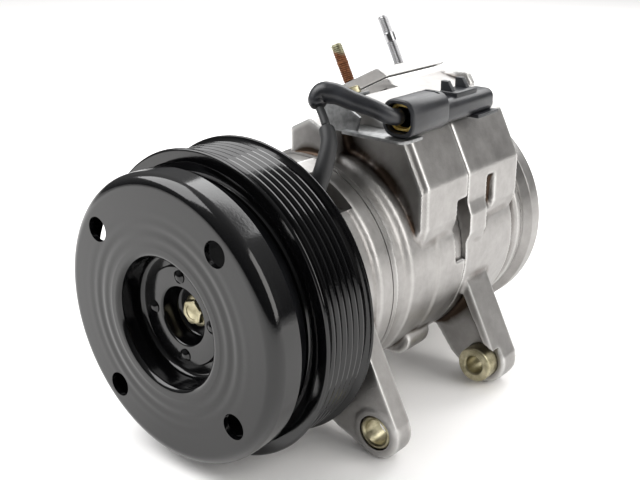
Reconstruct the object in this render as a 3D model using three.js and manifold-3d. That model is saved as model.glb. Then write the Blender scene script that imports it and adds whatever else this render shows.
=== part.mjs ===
// Electromagnetic clutch on its swash plate air conditioning compressor.
// Millimetres. +Z is up, +Y runs along the shaft from the clutch to the rear head.
// The origin is the middle of the hub bolt's outer face, on the shaft's axis.
// Stations ("y" values) are measured along the shaft from the front of the clutch cover.
import * as THREE from 'three';
import { mergeVertices } from 'three/addons/utils/BufferGeometryUtils.js';
import Module from 'manifold-3d';

const wasm = await Module();
wasm.setup();

// ---------------------------------------------------------------- driving dimensions
const GAP = 0.3;                  // left between two pieces that touch
const RUNNING = 0.5;              // left between two pieces that turn or slide past each other
const ROLL = 27;                  // degrees the compressor lies over on its two feet
const SIDES = 32;                 // flats round a large turned piece
const SMALL_SIDES = 14;           // flats round a small turned piece

const COVER_RADIUS = 62.5;
const COVER_DEPTH = 14.5;
const COVER_WALL = 2.4;
const COVER_SHOULDER = 5.5;
const COVER_MOUTH = 28.1;
const COVER_LIP = 2.6;
const COVER_HOLE_RADIUS = 5.5;
const COVER_HOLE_CIRCLE = 50.3;
const COVER_HOLE_COUNT = 4;
const COVER_HOLE_START = 50.35;   // degrees from +X towards +Z

const HUB_FACE = 10.4;            // station of the hub plate's front
const HUB_PLATE = 2.2;
const HUB_CUP_RADIUS = 12.5;
const HUB_LIP_WIDTH = 9.5;
const HUB_PLATE_RADIUS = HUB_CUP_RADIUS + HUB_LIP_WIDTH;
const HUB_CUP_WALL = 2;
const HUB_CUP_FLOOR = 20;         // station of the floor that the bolt pulls on
const HUB_FLOOR_THICK = 3;
const HUB_SLEEVE_RADIUS = 10.6;
const HUB_SLEEVE_END = 40;
const RIVET_OUTSIDE_CUP = 5.1;
const RIVET_CIRCLE = HUB_CUP_RADIUS + RIVET_OUTSIDE_CUP;
const RIVET_RADIUS = 1.9;
const RIVET_HEAD = 2.9;
const RIVET_COUNT = 4;
const RIVET_START = 2;            // degrees from +X towards +Z

const BOLT_FACE = 15.4;           // station of the hub bolt's outer face
const BOLT_FLATS = 10;
const BOLT_HEAD = 3.2;
const BOLT_FLANGE_RADIUS = 7.2;
const BOLT_SHANK_RADIUS = 3;
const BOLT_SHANK_LENGTH = 18;

const SPRING_FACE = 15.1;
const SPRING_THICK = 0.8;
const SPRING_REACH = 50;
const SPRING_RIVET_CIRCLE = 45;
const ARMATURE_FACE = 18.4;
const ARMATURE_THICK = 4.6;
const ARMATURE_RADIUS = 57;
const ARMATURE_BORE = 31;
const AIR_GAP = 0.5;
const FLUX_SLOTS = 4;
const FLUX_START = 45;            // degrees from +X towards +Z
const DAMPER_INNER = 36;
const DAMPER_OUTER = 41;

const PULLEY_RADIUS = 68;
const PULLEY_FRONT = 23.15;
const PULLEY_REAR = 51.4;
const PULLEY_BORE = 27.2;
const PULLEY_HUB_RADIUS = 31.4;
const RIB_COUNT = 7;
const RIB_PITCH = 3.56;
const RIB_CREST = 66.2;
const RIB_DEPTH = 2.9;
const RIB_FLAT = 0.8;
const FIRST_CREST = 25.63;
const FRICTION_PLATE = 5;
const PULLEY_RIM_INNER = 58.6;

const BEARING_INNER = 17.5;
const BEARING_WIDTH = 20;
const BEARING_FRONT = 26.5;
const RACE_WALL = 2.9;
const BALLS_PER_ROW = 8;
const CAGE_INSET = 2.6;
const BEARING_OUTER = PULLEY_BORE - GAP;
const RACE_GAP_MIDDLE = (BEARING_INNER + BEARING_OUTER) / 2;
const RACE_GAP_HALF = (BEARING_OUTER - BEARING_INNER) / 2 - RACE_WALL;

const COIL_INNER = 33;
const COIL_OUTER = 57.2;
const COIL_FRONT = 30.6;
const COIL_BACK = 50.4;
const COIL_WALL = 3;
const COIL_PLATE = 2;             // backing plate that seats on the housing's nose

const BODY_RADIUS = 54.2;
const JOINT_RADIUS = 53.4;
const HOUSING_FRONT = 54.2;
const HEAD_JOINT = 88.8;          // front housing to front block
const BLOCK_JOINT = 142;          // front block to rear block
const REAR_JOINT = 197.5;         // rear block to rear head
const REAR_END = 213;
const REAR_RADIUS = 57;
const NOSE_RADIUS = BEARING_INNER - GAP;
const NOSE_END = 25;
const SHAFT_RADIUS = 9;
const SHAFT_END_RADIUS = 7;
const SHAFT_BACK = 187;
const SHAFT_SHOULDER = HUB_SLEEVE_END + 3;   // station where the shaft grows to its full size
const SEAL_OUTER = 14;
const SEAL_SEAT = [55, 67];       // stations of the pocket for the shaft seal
const THROAT_BACK = 76;           // station where the shaft's throat opens into the front chamber
const CHAMBER_DEPTH = [64, 85];   // stations of the front chamber's floor and mouth
const FLANGE_START = 74.2;        // station where the housing swells to its flange
const RADIAL_BEARING_OUTER = 12.5;
const RADIAL_BEARING_WIDTH = 18;
const RADIAL_BEARING_INSET = 5.2; // from the front block's face to the front bearing
const RADIAL_BEARING_TAIL = 1;    // from the rear bearing's end to the shaft's end
const SWASH_HUB_RADIUS = 14;
const SWASH_HUB_HALF = 18.5;

const CYLINDER_COUNT = 5;
const CYLINDER_CIRCLE = 29;
const CYLINDER_BORE = 13.5;
const PISTON_FIT = 0.25;
const STROKE = 20;
const SWASH_RADIUS = 35;
const SWASH_THICK = 7;
const PISTON_HEAD = 17.5;
const TIE_BOLT_CIRCLE = 47;
const TIE_BOLT_RADIUS = 2.9;
const TIE_BOLT_HEAD = 3.4;
const TIE_BOLT_FLATS = 9;
const TIE_BOLT_SEAT = 58;         // station of the spot face under the heads
const CHAMBER_RADIUS = 37.6;
const CHAMBER_HALF = 24.8;
const VALVE_PLATE = 3;
const VALVE_PLATE_RADIUS = 42.6;

const DRUM_STEP = 118.4;          // station of the faint step round the front block
const REAR_STEP = [185.6, 193.4]; // stations of the neck in front of the rear joint
const LUG = [15, -48.5];          // upright frame: the small lug under the front block
const LUG_RADIUS = 8.5;
const LUG_SPAN = [111, 129];
const RECESS_RISE = 8.4;          // from the crescent recess's front to the block joint
const POCKET = [159, 166];        // stations of the cored pocket under the rear box

const EAR_X = 29.2;               // upright frame: to the side of the shaft
const EAR_DROP = 77.5;            // upright frame: below the shaft
const EAR_SIDE = 41.4;            // upright frame: the flat side of both ears
const EAR_RADIUS = 12.2;
const FRONT_EAR = [63, 73.5];
const REAR_EAR = [151.5, 164];
const BUSH_RADIUS = 8.8;
const BUSH_BORE = 4.6;
const BUSH_STANDS_OUT = 8;
const FRONT_BUSH_RADIUS = 7.8;
const FRONT_BUSH_BORE = 5.75;

const BOX_FRONT = 106;
const BOX_REAR = 188;
const BOX_SIDE = 66.5;            // upright frame: the side wall of the muffler box
const BOX_WALL = 4.5;
const BOX_CHAMFER = 2.5;
const BOX_TOP = 69.5;             // upright frame: the rear box under the port block
const BOX_LEDGE = 63;             // upright frame: the lower top of the front box
const BOX_LEFT_FRONT = 122;       // station where the front box widens to the left
const LEAD_EXIT = [29, 40.5];     // where the lead leaves the coil, as the object stands
const LEAD_RADIUS = 1.8;
const BOOT_RADIUS = 4;
const SLEEVE_RADIUS = 3.8;
// Middle of the connector's front, as the object stands: it keeps its place beside the box.
const CONNECTOR_INSET = 21.1;
const CONNECTOR_HEIGHT = 74.8;
const CONNECTOR_RISE = 0.45;   // climb for each millimetre the box is wider than it is drawn
const CONNECTOR_BOX_SIDE = 66.5;   // the box side at which the height above holds
const CONNECTOR = [
  BOX_SIDE - CONNECTOR_INSET,
  CONNECTOR_HEIGHT + CONNECTOR_RISE * (BOX_SIDE - CONNECTOR_BOX_SIDE),
];
const CONNECTOR_FRONT = 95;
const CONNECTOR_STEP = 122;
const CONNECTOR_REAR = 165;
const CONNECTOR_HALF = [8.4, 8.2];
const PLUG_HALF = [6.3, 5.4];
const LATCH = [136, 153];         // stations of the release latch on the plug
const LATCH_TEETH = [138, 150];
const PLUG_DROP = 2.3;            // the plug's middle below the connector's
const BRACKET_THICK = 1.5;
const BRACKET_FRONT = 91;         // station of the shelf's front edge
const BRACKET_LEAF = 94;          // station of the upright leaf
const BRACKET_FLAP = [37, 47];    // upright frame: the flap's two edges
const BRACKET_SCREW = [42, 112];  // upright frame: across, station
const BRACKET_SCREW_RADIUS = 4.6;
const BRACKET_SCREW_HEAD = 3.5;
const STUD_RADIUS = 3;
const STUDS = [[15, 146, 96], [16, 189.3, 106]];   // across, station, height of the tip
const PORT_X = 17;
const PORTS = [[157, 7.5], [176, 6]];    // station, radius: suction and discharge
const PORT_BLOCK = 6;
const PORT_BLOCK_SPAN = [142.4, 192.8];
const PORT_BLOCK_SIDES = [-2, 41];

// ---------------------------------------------------------------- solids
function toSolid(geometry) {
  const bare = geometry.index ? geometry.toNonIndexed() : geometry.clone();
  for (const name of Object.keys(bare.attributes)) {
    if (name !== 'position') bare.deleteAttribute(name);
  }
  const merged = mergeVertices(bare, 1e-4);
  const at = merged.attributes.position;
  const index = merged.index.array;
  const corners = [];
  let volume = 0;
  const a = new THREE.Vector3();
  const b = new THREE.Vector3();
  const c = new THREE.Vector3();
  for (let i = 0; i < index.length; i += 3) {
    const [p, q, r] = [index[i], index[i + 1], index[i + 2]];
    if (p === q || q === r || r === p) continue;
    corners.push(p, q, r);
    a.fromBufferAttribute(at, p);
    b.fromBufferAttribute(at, q);
    c.fromBufferAttribute(at, r);
    volume += a.dot(b.cross(c));
  }
  if (volume < 0) corners.reverse();
  return new wasm.Manifold(new wasm.Mesh({
    numProp: 3,
    vertProperties: new Float32Array(at.array),
    triVerts: new Uint32Array(corners),
  }));
}

function toGeometry(solid) {
  const mesh = solid.getMesh();
  const geometry = new THREE.BufferGeometry();
  geometry.setAttribute('position', new THREE.BufferAttribute(mesh.vertProperties, 3));
  geometry.setIndex(new THREE.BufferAttribute(mesh.triVerts, 1));
  const flat = geometry.toNonIndexed();
  flat.computeVertexNormals();
  return flat;
}

// A profile of [radius, station] points turned round the shaft's axis.
function turned(profile, sides = SIDES) {
  const points = profile.map(([r, y]) => new THREE.Vector2(r, y));
  const onAxis = profile[0][0] === 0 && profile[profile.length - 1][0] === 0;
  if (!onAxis) points.push(points[0].clone());
  return toSolid(new THREE.LatheGeometry(points, sides));
}

function ring(inner, outer, from, to, sides = SIDES) {
  if (inner === 0) return turned([[0, from], [outer, from], [outer, to], [0, to]], sides);
  return turned([[inner, from], [outer, from], [outer, to], [inner, to]], sides);
}

// A rod along the shaft's direction, standing off the axis at (x, z).
function rod(x, z, radius, from, to, sides = SMALL_SIDES) {
  return ring(0, radius, from, to, sides).translate([x, 0, z]);
}

// An outline of (x, z) points pushed along the shaft from one station to another.
function prism(outline, from, to) {
  const shape = new THREE.Shape(outline.map(([x, z]) => new THREE.Vector2(x, z)));
  const geometry = new THREE.ExtrudeGeometry(shape, { depth: to - from, bevelEnabled: false });
  geometry.rotateX(Math.PI / 2);
  geometry.translate(0, to, 0);
  return toSolid(geometry);
}

function block(size, middle) {
  const geometry = new THREE.BoxGeometry(...size);
  geometry.translate(...middle);
  return toSolid(geometry);
}

// Points of an arc, angles in degrees.
function arc(x, y, radius, from, to, steps) {
  const points = [];
  for (let i = 0; i <= steps; i += 1) {
    const angle = THREE.MathUtils.degToRad(from + (to - from) * i / steps);
    points.push([x + radius * Math.cos(angle), y + radius * Math.sin(angle)]);
  }
  return points;
}

// Places round a circle, as [x, z] pairs.
function around(count, radius, start) {
  return Array.from({ length: count }, (_, i) => {
    const angle = THREE.MathUtils.degToRad(start + 360 * i / count);
    return [radius * Math.cos(angle), radius * Math.sin(angle)];
  });
}

// A tube or bar of round section along a smooth curve through hand-set points.
function alongCurve(points, radius, steps, sides = 10) {
  const curve = new THREE.CatmullRomCurve3(points.map((p) => new THREE.Vector3(...p)));
  const section = new THREE.Shape(arc(0, 0, radius, 0, 360, sides).slice(0, -1)
    .map(([x, y]) => new THREE.Vector2(x, y)));
  return toSolid(new THREE.ExtrudeGeometry(section, { steps, extrudePath: curve }));
}

function cutAll(solid, cutters) {
  return cutters.reduce((left, cutter) => left.subtract(cutter), solid);
}

function joinAll(solids) {
  return solids.reduce((left, right) => left.add(right));
}

// ---------------------------------------------------------------- finishes and placing
const finishes = {
  blackPaint: { color: 0x131315, roughness: 0.25, metalness: 0.1 },
  castAluminium: { color: 0xb9b6b0, roughness: 0.5, metalness: 0.8 },
  steel: { color: 0x9a9a9c, roughness: 0.35, metalness: 1 },
  zinc: { color: 0xb3a878, roughness: 0.35, metalness: 1 },
  rust: { color: 0x7c5136, roughness: 0.7, metalness: 0.6 },
  brightSteel: { color: 0xd6d6d4, roughness: 0.25, metalness: 1 },
  epoxy: { color: 0x2a211b, roughness: 0.6, metalness: 0 },
  rubber: { color: 0x1b1b1c, roughness: 0.8, metalness: 0 },
  blackPlastic: { color: 0x1c1d21, roughness: 0.45, metalness: 0 },
  sealYellow: { color: 0xc8a24a, roughness: 0.4, metalness: 0.3 },
};

const object = new THREE.Group();
object.position.y = -BOLT_FACE;
const clutch = new THREE.Group();
const compressor = new THREE.Group();
compressor.rotation.y = -THREE.MathUtils.degToRad(ROLL);
object.add(clutch, compressor);

function place(group, name, solid, finish) {
  const mesh = new THREE.Mesh(toGeometry(solid), new THREE.MeshStandardMaterial(finishes[finish]));
  mesh.name = name;
  group.add(mesh);
}

// ---------------------------------------------------------------- clutch: driven side
// Drawn steel cover: a flat face with a rolled-in mouth, a round shoulder and a short skirt,
// and inside the mouth a cup whose flange is riveted behind the hub plate.
function makeCover() {
  const inner = COVER_RADIUS - COVER_WALL;
  const flange = HUB_FACE + HUB_PLATE + GAP;
  const bend = COVER_SHOULDER;
  const lip = COVER_MOUTH + COVER_LIP;
  const cupOuter = COVER_MOUTH + COVER_WALL;
  const shell = turned([
    [HUB_CUP_RADIUS + HUB_CUP_WALL + GAP, flange],
    [COVER_MOUTH - 2, flange],
    [COVER_MOUTH, flange - 2],
    ...arc(lip, COVER_LIP, COVER_LIP, 180, 270, 2),
    ...arc(COVER_RADIUS - bend, bend, bend, 270, 360, 4),
    [COVER_RADIUS, COVER_DEPTH],
    [inner, COVER_DEPTH],
    ...arc(COVER_RADIUS - bend, bend, bend - COVER_WALL, 360, 270, 2),
    [cupOuter, COVER_WALL],
    [cupOuter, flange],
    [COVER_MOUTH - 1, SPRING_FACE - GAP],
    [HUB_CUP_RADIUS + HUB_CUP_WALL + GAP, SPRING_FACE - GAP],
  ]);
  const holes = around(COVER_HOLE_COUNT, COVER_HOLE_CIRCLE, COVER_HOLE_START)
    .map(([x, z]) => rod(x, z, COVER_HOLE_RADIUS, -1, COVER_WALL + 1));
  const rivets = rivetPlaces().map(([x, z]) => rod(x, z, RIVET_RADIUS + GAP, HUB_FACE, SPRING_FACE, 8));
  return cutAll(shell, [...holes, ...rivets]);
}

function rivetPlaces() {
  return around(RIVET_COUNT, RIVET_CIRCLE, RIVET_START);
}

function springRivetPlaces() {
  return around(RIVET_COUNT, SPRING_RIVET_CIRCLE, RIVET_START);
}

// Hub: a plate, a cup that the bolt sits in, and a sleeve that slides over the shaft's end.
function makeHub() {
  const cup = HUB_CUP_RADIUS + HUB_CUP_WALL;
  const floorBack = HUB_CUP_FLOOR + HUB_FLOOR_THICK;
  const body = turned([
    [BOLT_SHANK_RADIUS + GAP, HUB_CUP_FLOOR],
    [HUB_CUP_RADIUS - 1, HUB_CUP_FLOOR],
    [HUB_CUP_RADIUS, HUB_CUP_FLOOR - 1],
    [HUB_CUP_RADIUS, HUB_FACE + 1],
    [HUB_CUP_RADIUS + 1, HUB_FACE],
    [HUB_PLATE_RADIUS - 0.6, HUB_FACE],
    [HUB_PLATE_RADIUS, HUB_FACE + 0.6],
    [HUB_PLATE_RADIUS, HUB_FACE + HUB_PLATE],
    [cup, HUB_FACE + HUB_PLATE],
    [cup, floorBack],
    [HUB_SLEEVE_RADIUS, floorBack],
    [HUB_SLEEVE_RADIUS, HUB_SLEEVE_END],
    [SHAFT_END_RADIUS + GAP, HUB_SLEEVE_END],
    [SHAFT_END_RADIUS + GAP, floorBack],
    [BOLT_SHANK_RADIUS + GAP, floorBack],
  ], 24);
  return cutAll(body, rivetPlaces()
    .map(([x, z]) => rod(x, z, RIVET_RADIUS + GAP, HUB_FACE - 1, HUB_FACE + HUB_PLATE + 1, 8)));
}

// Rivet through the hub plate, the cover's flange and the leaf spring.
function makeHubRivet([x, z]) {
  const back = SPRING_FACE + SPRING_THICK;
  return turned([
    [0, HUB_FACE - 1.6],
    [RIVET_HEAD * 0.7, HUB_FACE - 1.2],
    [RIVET_HEAD, HUB_FACE - GAP],
    [RIVET_RADIUS, HUB_FACE - GAP],
    [RIVET_RADIUS, back + GAP],
    [RIVET_HEAD, back + GAP],
    [RIVET_HEAD, back + 1.4],
    [0, back + 1.4],
  ], 8).translate([x, 0, z]);
}

function makeHubBolt() {
  const flangeBack = HUB_CUP_FLOOR - GAP;
  const hex = around(6, BOLT_FLATS / Math.sqrt(3), 15);
  const flange = ring(0, BOLT_FLANGE_RADIUS, BOLT_FACE + BOLT_HEAD - 0.6, flangeBack, SMALL_SIDES);
  const shank = ring(0, BOLT_SHANK_RADIUS, BOLT_FACE + 1, flangeBack + BOLT_SHANK_LENGTH, 16);
  return joinAll([prism(hex, BOLT_FACE, BOLT_FACE + BOLT_HEAD), flange, shank]);
}

function makeShim() {
  const from = HUB_CUP_FLOOR + HUB_FLOOR_THICK + GAP;
  return ring(BOLT_SHANK_RADIUS + GAP, SHAFT_END_RADIUS - 0.4, from, from + 0.5, SMALL_SIDES);
}

// Four-armed leaf spring: the hub's rivets hold its middle, the armature's rivets its tips.
function makeLeafSpring() {
  const outline = [];
  for (const [x, z] of around(RIVET_COUNT, 1, RIVET_START)) {
    const side = (along, across) => [x * along - z * across, z * along + x * across];
    outline.push(side(22, -9), side(SPRING_REACH - 3, -5.5), side(SPRING_REACH, -3));
    outline.push(side(SPRING_REACH, 3), side(SPRING_REACH - 3, 5.5), side(22, 9));
  }
  const back = SPRING_FACE + SPRING_THICK;
  const plate = prism(outline, SPRING_FACE, back);
  const middle = ring(0, HUB_CUP_RADIUS + HUB_CUP_WALL + GAP, SPRING_FACE - 1, back + 1);
  const cutters = [...rivetPlaces(), ...springRivetPlaces()]
    .map(([x, z]) => rod(x, z, RIVET_RADIUS + GAP, SPRING_FACE - 1, back + 1, 8));
  return cutAll(plate, [middle, ...cutters]);
}

// Rivet of the armature; its head stands clear of the spring by more than the air gap.
function makeArmatureRivet([x, z]) {
  const headBack = SPRING_FACE - AIR_GAP - GAP;
  return turned([
    [0, headBack - 1.2],
    [RIVET_HEAD, headBack - 1.2],
    [RIVET_HEAD, headBack],
    [RIVET_RADIUS, headBack],
    [RIVET_RADIUS, ARMATURE_FACE + ARMATURE_THICK - 1],
    [0, ARMATURE_FACE + ARMATURE_THICK - 1],
  ], 8).translate([x, 0, z]);
}

function makeArmature() {
  const back = ARMATURE_FACE + ARMATURE_THICK;
  const plate = turned([
    [ARMATURE_BORE, ARMATURE_FACE],
    [ARMATURE_RADIUS - 0.8, ARMATURE_FACE],
    [ARMATURE_RADIUS, ARMATURE_FACE + 0.8],
    [ARMATURE_RADIUS, back],
    [ARMATURE_BORE, back],
  ]);
  const rivets = springRivetPlaces()
    .map(([x, z]) => rod(x, z, RIVET_RADIUS + GAP, ARMATURE_FACE - 1, back + 1, 8));
  const slotStart = FLUX_START + 180 / FLUX_SLOTS;
  const slots = fluxSlots(40, FLUX_SLOTS, slotStart, ARMATURE_FACE - 1, back + 1);
  return cutAll(plate, [...rivets, ...slots]);
}

// Curved slots that steer the magnetic flux.
function fluxSlots(radius, count, start, from, to) {
  const half = 1.2;
  const steps = 3;
  const sweep = 360 / count * 0.62;
  return Array.from({ length: count }, (_, i) => {
    const middle = start + 360 * i / count;
    return prism([
      ...arc(0, 0, radius + half, middle - sweep / 2, middle + sweep / 2, steps),
      ...arc(0, 0, radius - half, middle + sweep / 2, middle - sweep / 2, steps),
    ], from, to);
  });
}

function makeDamper() {
  return ring(DAMPER_INNER, DAMPER_OUTER, COVER_WALL + GAP, SPRING_FACE - GAP, 24);
}

// ---------------------------------------------------------------- clutch: pulley side
function makePulley() {
  const face = ARMATURE_FACE + ARMATURE_THICK + AIR_GAP;
  const root = RIB_CREST - RIB_DEPTH;
  const ribs = [];
  for (let i = 0; i < RIB_COUNT; i += 1) {
    const crest = FIRST_CREST + RIB_PITCH * i;
    ribs.push([RIB_CREST, crest - RIB_FLAT / 2]);
    ribs.push([RIB_CREST, crest + RIB_FLAT / 2]);
    ribs.push([root, crest + RIB_PITCH / 2]);
  }
  const lastCrest = FIRST_CREST + RIB_PITCH * RIB_COUNT;
  const body = turned([
    [PULLEY_BORE, face + 1],
    [PULLEY_HUB_RADIUS - 1, face],
    [ARMATURE_RADIUS + 0.6, face],
    [ARMATURE_RADIUS + 1.4, face + 1.4],
    [PULLEY_RIM_INNER + 1.2, face + 1.4],
    [PULLEY_RIM_INNER + 3.4, PULLEY_FRONT],
    [PULLEY_RADIUS - 1.6, PULLEY_FRONT],
    [PULLEY_RADIUS - 0.4, PULLEY_FRONT + 1],
    ...ribs,
    [RIB_CREST, lastCrest - RIB_FLAT / 2],
    [PULLEY_RADIUS, lastCrest],
    [PULLEY_RADIUS, PULLEY_REAR - 0.3],
    [PULLEY_RADIUS - 0.3, PULLEY_REAR],
    [PULLEY_RIM_INNER, PULLEY_REAR],
    [PULLEY_RIM_INNER, face + FRICTION_PLATE],
    [PULLEY_HUB_RADIUS, face + FRICTION_PLATE],
    [PULLEY_HUB_RADIUS, BEARING_FRONT + BEARING_WIDTH + 1],
    [PULLEY_BORE, BEARING_FRONT + BEARING_WIDTH + 1],
  ]);
  return cutAll(body, fluxSlots(49, FLUX_SLOTS, FLUX_START, face - 1, face + FRICTION_PLATE + 1));
}

function makeOuterRace() {
  const back = BEARING_FRONT + BEARING_WIDTH;
  return ring(BEARING_OUTER - RACE_WALL, BEARING_OUTER, BEARING_FRONT, back, 24);
}

function makeInnerRace() {
  const back = BEARING_FRONT + BEARING_WIDTH;
  return ring(BEARING_INNER, BEARING_INNER + RACE_WALL, BEARING_FRONT, back, 24);
}

// Two rows of balls in one cage; the balls fill the room between the races.
function makeBallsAndCage() {
  const ballRadius = RACE_GAP_HALF - GAP;
  const cageFront = BEARING_FRONT + CAGE_INSET;
  const cageBack = BEARING_FRONT + BEARING_WIDTH - CAGE_INSET;
  const cage = ring(RACE_GAP_MIDDLE - 0.5, RACE_GAP_MIDDLE + 0.5, cageFront, cageBack, 16);
  const rowPlaces = (row) => around(BALLS_PER_ROW, RACE_GAP_MIDDLE, row * 180 / BALLS_PER_ROW);
  const balls = [0.3, 0.7].flatMap((share, row) => rowPlaces(row)
    .map(([x, z]) => {
      const ball = new THREE.SphereGeometry(ballRadius, 6, 4);
      ball.translate(x, BEARING_FRONT + BEARING_WIDTH * share, z);
      return toSolid(ball);
    }));
  return joinAll([cage, ...balls]);
}

function makeBearingSeal(from) {
  const half = RACE_GAP_HALF - GAP;
  return ring(RACE_GAP_MIDDLE - half, RACE_GAP_MIDDLE + half, from, from + 1, 20);
}

// Open ring that sits in front of the bearing on the housing's nose.
function makeSnapRing() {
  const back = BEARING_FRONT - GAP;
  const full = ring(NOSE_RADIUS - 0.9, NOSE_RADIUS + 1.6, back - 1.1, back, 20);
  return full.subtract(block([4, 6, 6], [0, BEARING_FRONT, NOSE_RADIUS]));
}

// ---------------------------------------------------------------- clutch: field coil
function makeCoilHousing() {
  const inner = COIL_INNER;
  const channel = turned([
    [inner, COIL_FRONT],
    [inner + COIL_WALL, COIL_FRONT],
    [inner + COIL_WALL, COIL_BACK - COIL_WALL],
    [COIL_OUTER - COIL_WALL, COIL_BACK - COIL_WALL],
    [COIL_OUTER - COIL_WALL, COIL_FRONT],
    [COIL_OUTER, COIL_FRONT],
    [COIL_OUTER, COIL_BACK + COIL_PLATE],
    [NOSE_RADIUS + GAP, COIL_BACK + COIL_PLATE],
    [NOSE_RADIUS + GAP, COIL_BACK],
    [inner, COIL_BACK],
  ]);
  const front = COIL_BACK - COIL_WALL - 1;
  return channel.subtract(rod(...LEAD_EXIT, LEAD_RADIUS + GAP, front, COIL_BACK + COIL_PLATE + 1, 8));
}

// Copper winding set in resin, which fills the channel nearly to its mouth.
function makeWinding() {
  return ring(COIL_INNER + COIL_WALL + GAP, COIL_OUTER - COIL_WALL - GAP, COIL_FRONT + 0.5,
    COIL_BACK - COIL_WALL - GAP);
}

// ---------------------------------------------------------------- compressor
// A place beside the shaft, given as the object stands, in the compressor's own upright frame.
function upright(x, z) {
  const turn = THREE.MathUtils.degToRad(ROLL);
  return [x * Math.cos(turn) + z * Math.sin(turn), z * Math.cos(turn) - x * Math.sin(turn)];
}

function cylinderPlaces() {
  return around(CYLINDER_COUNT, CYLINDER_CIRCLE, 90);
}

function tieBoltPlaces() {
  return around(CYLINDER_COUNT, TIE_BOLT_CIRCLE, 90 + 180 / CYLINDER_COUNT);
}

function tieBoltHoles(from, to) {
  return tieBoltPlaces().map(([x, z]) => rod(x, z, TIE_BOLT_RADIUS + GAP, from, to, 8));
}

// Both ears run down the same flat side and end in a round boss on the mounting bolt's line.
function earOutline(shoulder, tipRadius) {
  return [
    [EAR_SIDE, -20],
    [EAR_SIDE, -EAR_DROP],
    ...arc(EAR_X, -EAR_DROP, tipRadius, 0, -135, 9),
    ...shoulder,
    [0, -20],
  ];
}

function makeFrontHousing() {
  const flangeBack = HEAD_JOINT - GAP;
  const outer = turned([
    [0, NOSE_END],
    [NOSE_RADIUS - 0.6, NOSE_END],
    [NOSE_RADIUS, NOSE_END + 0.6],
    [NOSE_RADIUS, COIL_BACK + COIL_PLATE + GAP],
    [38, COIL_BACK + COIL_PLATE + GAP],
    [38, HOUSING_FRONT],
    [48, HOUSING_FRONT + 1],
    [JOINT_RADIUS - 1.5, HOUSING_FRONT + 8],
    [JOINT_RADIUS - 1.5, FLANGE_START],
    [JOINT_RADIUS, FLANGE_START + 2],
    [JOINT_RADIUS, flangeBack],
    [0, flangeBack],
  ]);
  const ear = prism(earOutline([[5.3, -68.9], [-12, -50]], EAR_RADIUS), ...FRONT_EAR);
  const pad = prism([[37, 30], [53, 22], [56, 30], [42, 44]], HOUSING_FRONT + 6, HOUSING_FRONT + 19);
  const hollow = turned([
    [0, NOSE_END - 1],
    [HUB_SLEEVE_RADIUS + RUNNING, NOSE_END - 1],
    [HUB_SLEEVE_RADIUS + RUNNING, SEAL_SEAT[0]],
    [SEAL_OUTER + GAP, SEAL_SEAT[0]],
    [SEAL_OUTER + GAP, SEAL_SEAT[1]],
    [SHAFT_RADIUS + RUNNING, SEAL_SEAT[1]],
    [SHAFT_RADIUS + RUNNING, THROAT_BACK],
    [SEAL_OUTER + 4, THROAT_BACK],
    [SEAL_OUTER + 6, CHAMBER_DEPTH[0]],
    [VALVE_PLATE_RADIUS - 7.4, CHAMBER_DEPTH[0] + 2],
    [VALVE_PLATE_RADIUS - 2.4, CHAMBER_DEPTH[0] + 8],
    [VALVE_PLATE_RADIUS - 2.4, CHAMBER_DEPTH[1]],
    [VALVE_PLATE_RADIUS + GAP, CHAMBER_DEPTH[1]],
    [VALVE_PLATE_RADIUS + GAP, HEAD_JOINT + 1],
    [0, HEAD_JOINT + 1],
  ]);
  const grooveFront = BEARING_FRONT - 2 * GAP - 1.1;
  const snapGroove = ring(NOSE_RADIUS - 1.2, NOSE_RADIUS + 3, grooveFront, BEARING_FRONT, 20);
  const bushHole = rod(EAR_X, -EAR_DROP, FRONT_BUSH_RADIUS + GAP, FRONT_EAR[0] - 1, FRONT_EAR[1] + 1);
  const nose = ring(0, NOSE_RADIUS + 0.2, NOSE_END - 1, BEARING_FRONT + 1, 48);
  const body = joinAll([outer, ear.subtract(ring(0, 45, 60, 80)), pad]);
  const spotFaces = tieBoltPlaces()
    .map(([x, z]) => rod(x, z, TIE_BOLT_FLATS / Math.sqrt(3) + RUNNING, COIL_BACK, TIE_BOLT_SEAT));
  const leadPlace = upright(LEAD_EXIT[0] + 2, LEAD_EXIT[1] + 6);
  const leadNotch = rod(...leadPlace, BOOT_RADIUS * 2.5, COIL_BACK, FLANGE_START + 2);
  return cutAll(body, [
    hollow,
    snapGroove.intersect(nose),
    bushHole,
    leadNotch,
    ...spotFaces,
    ...tieBoltHoles(COIL_BACK, HEAD_JOINT + 1),
  ]);
}

function makeShaftSeal() {
  const [front, back] = [SEAL_SEAT[0] + 1, SEAL_SEAT[1] - 1.5];
  return turned([
    [SHAFT_RADIUS + GAP, front],
    [SEAL_OUTER, front],
    [SEAL_OUTER, back],
    [SHAFT_RADIUS + 2.5, back],
    [SHAFT_RADIUS + 2.5, front + 2],
    [SHAFT_RADIUS + GAP, front + 3.5],
  ], 20);
}

// Muffler box cast on the side and top of both blocks, and the port block over it.
function boxOutline(inset) {
  return [
    ...boxSide(inset),
    [BOX_SIDE - 24.5, 66 - inset],
    [BOX_SIDE - 26 - inset * 0.5, BOX_TOP - inset],
    [-4 + inset * 0.5, BOX_TOP - inset],
    [-15 + inset, 64],
    [-22 + inset, 44],
  ];
}

function boxSide(inset) {
  const side = BOX_SIDE - inset;
  return [
    [20, -10],
    [53.5 - inset, -9 + inset],
    [58 - inset, -4 + inset],
    [side, 13],
    [side, 38],
    [54 - inset * 0.8, 57],
  ];
}

// The front half is lower than the rear, and narrower over its first stretch.
function frontBoxOutline(inset) {
  return [
    ...boxSide(inset),
    [BOX_SIDE - 18.5 - inset * 0.5, BOX_LEDGE - inset],
    [16 + inset, BOX_LEDGE - inset],
    [13 + inset, 44],
  ];
}

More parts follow.
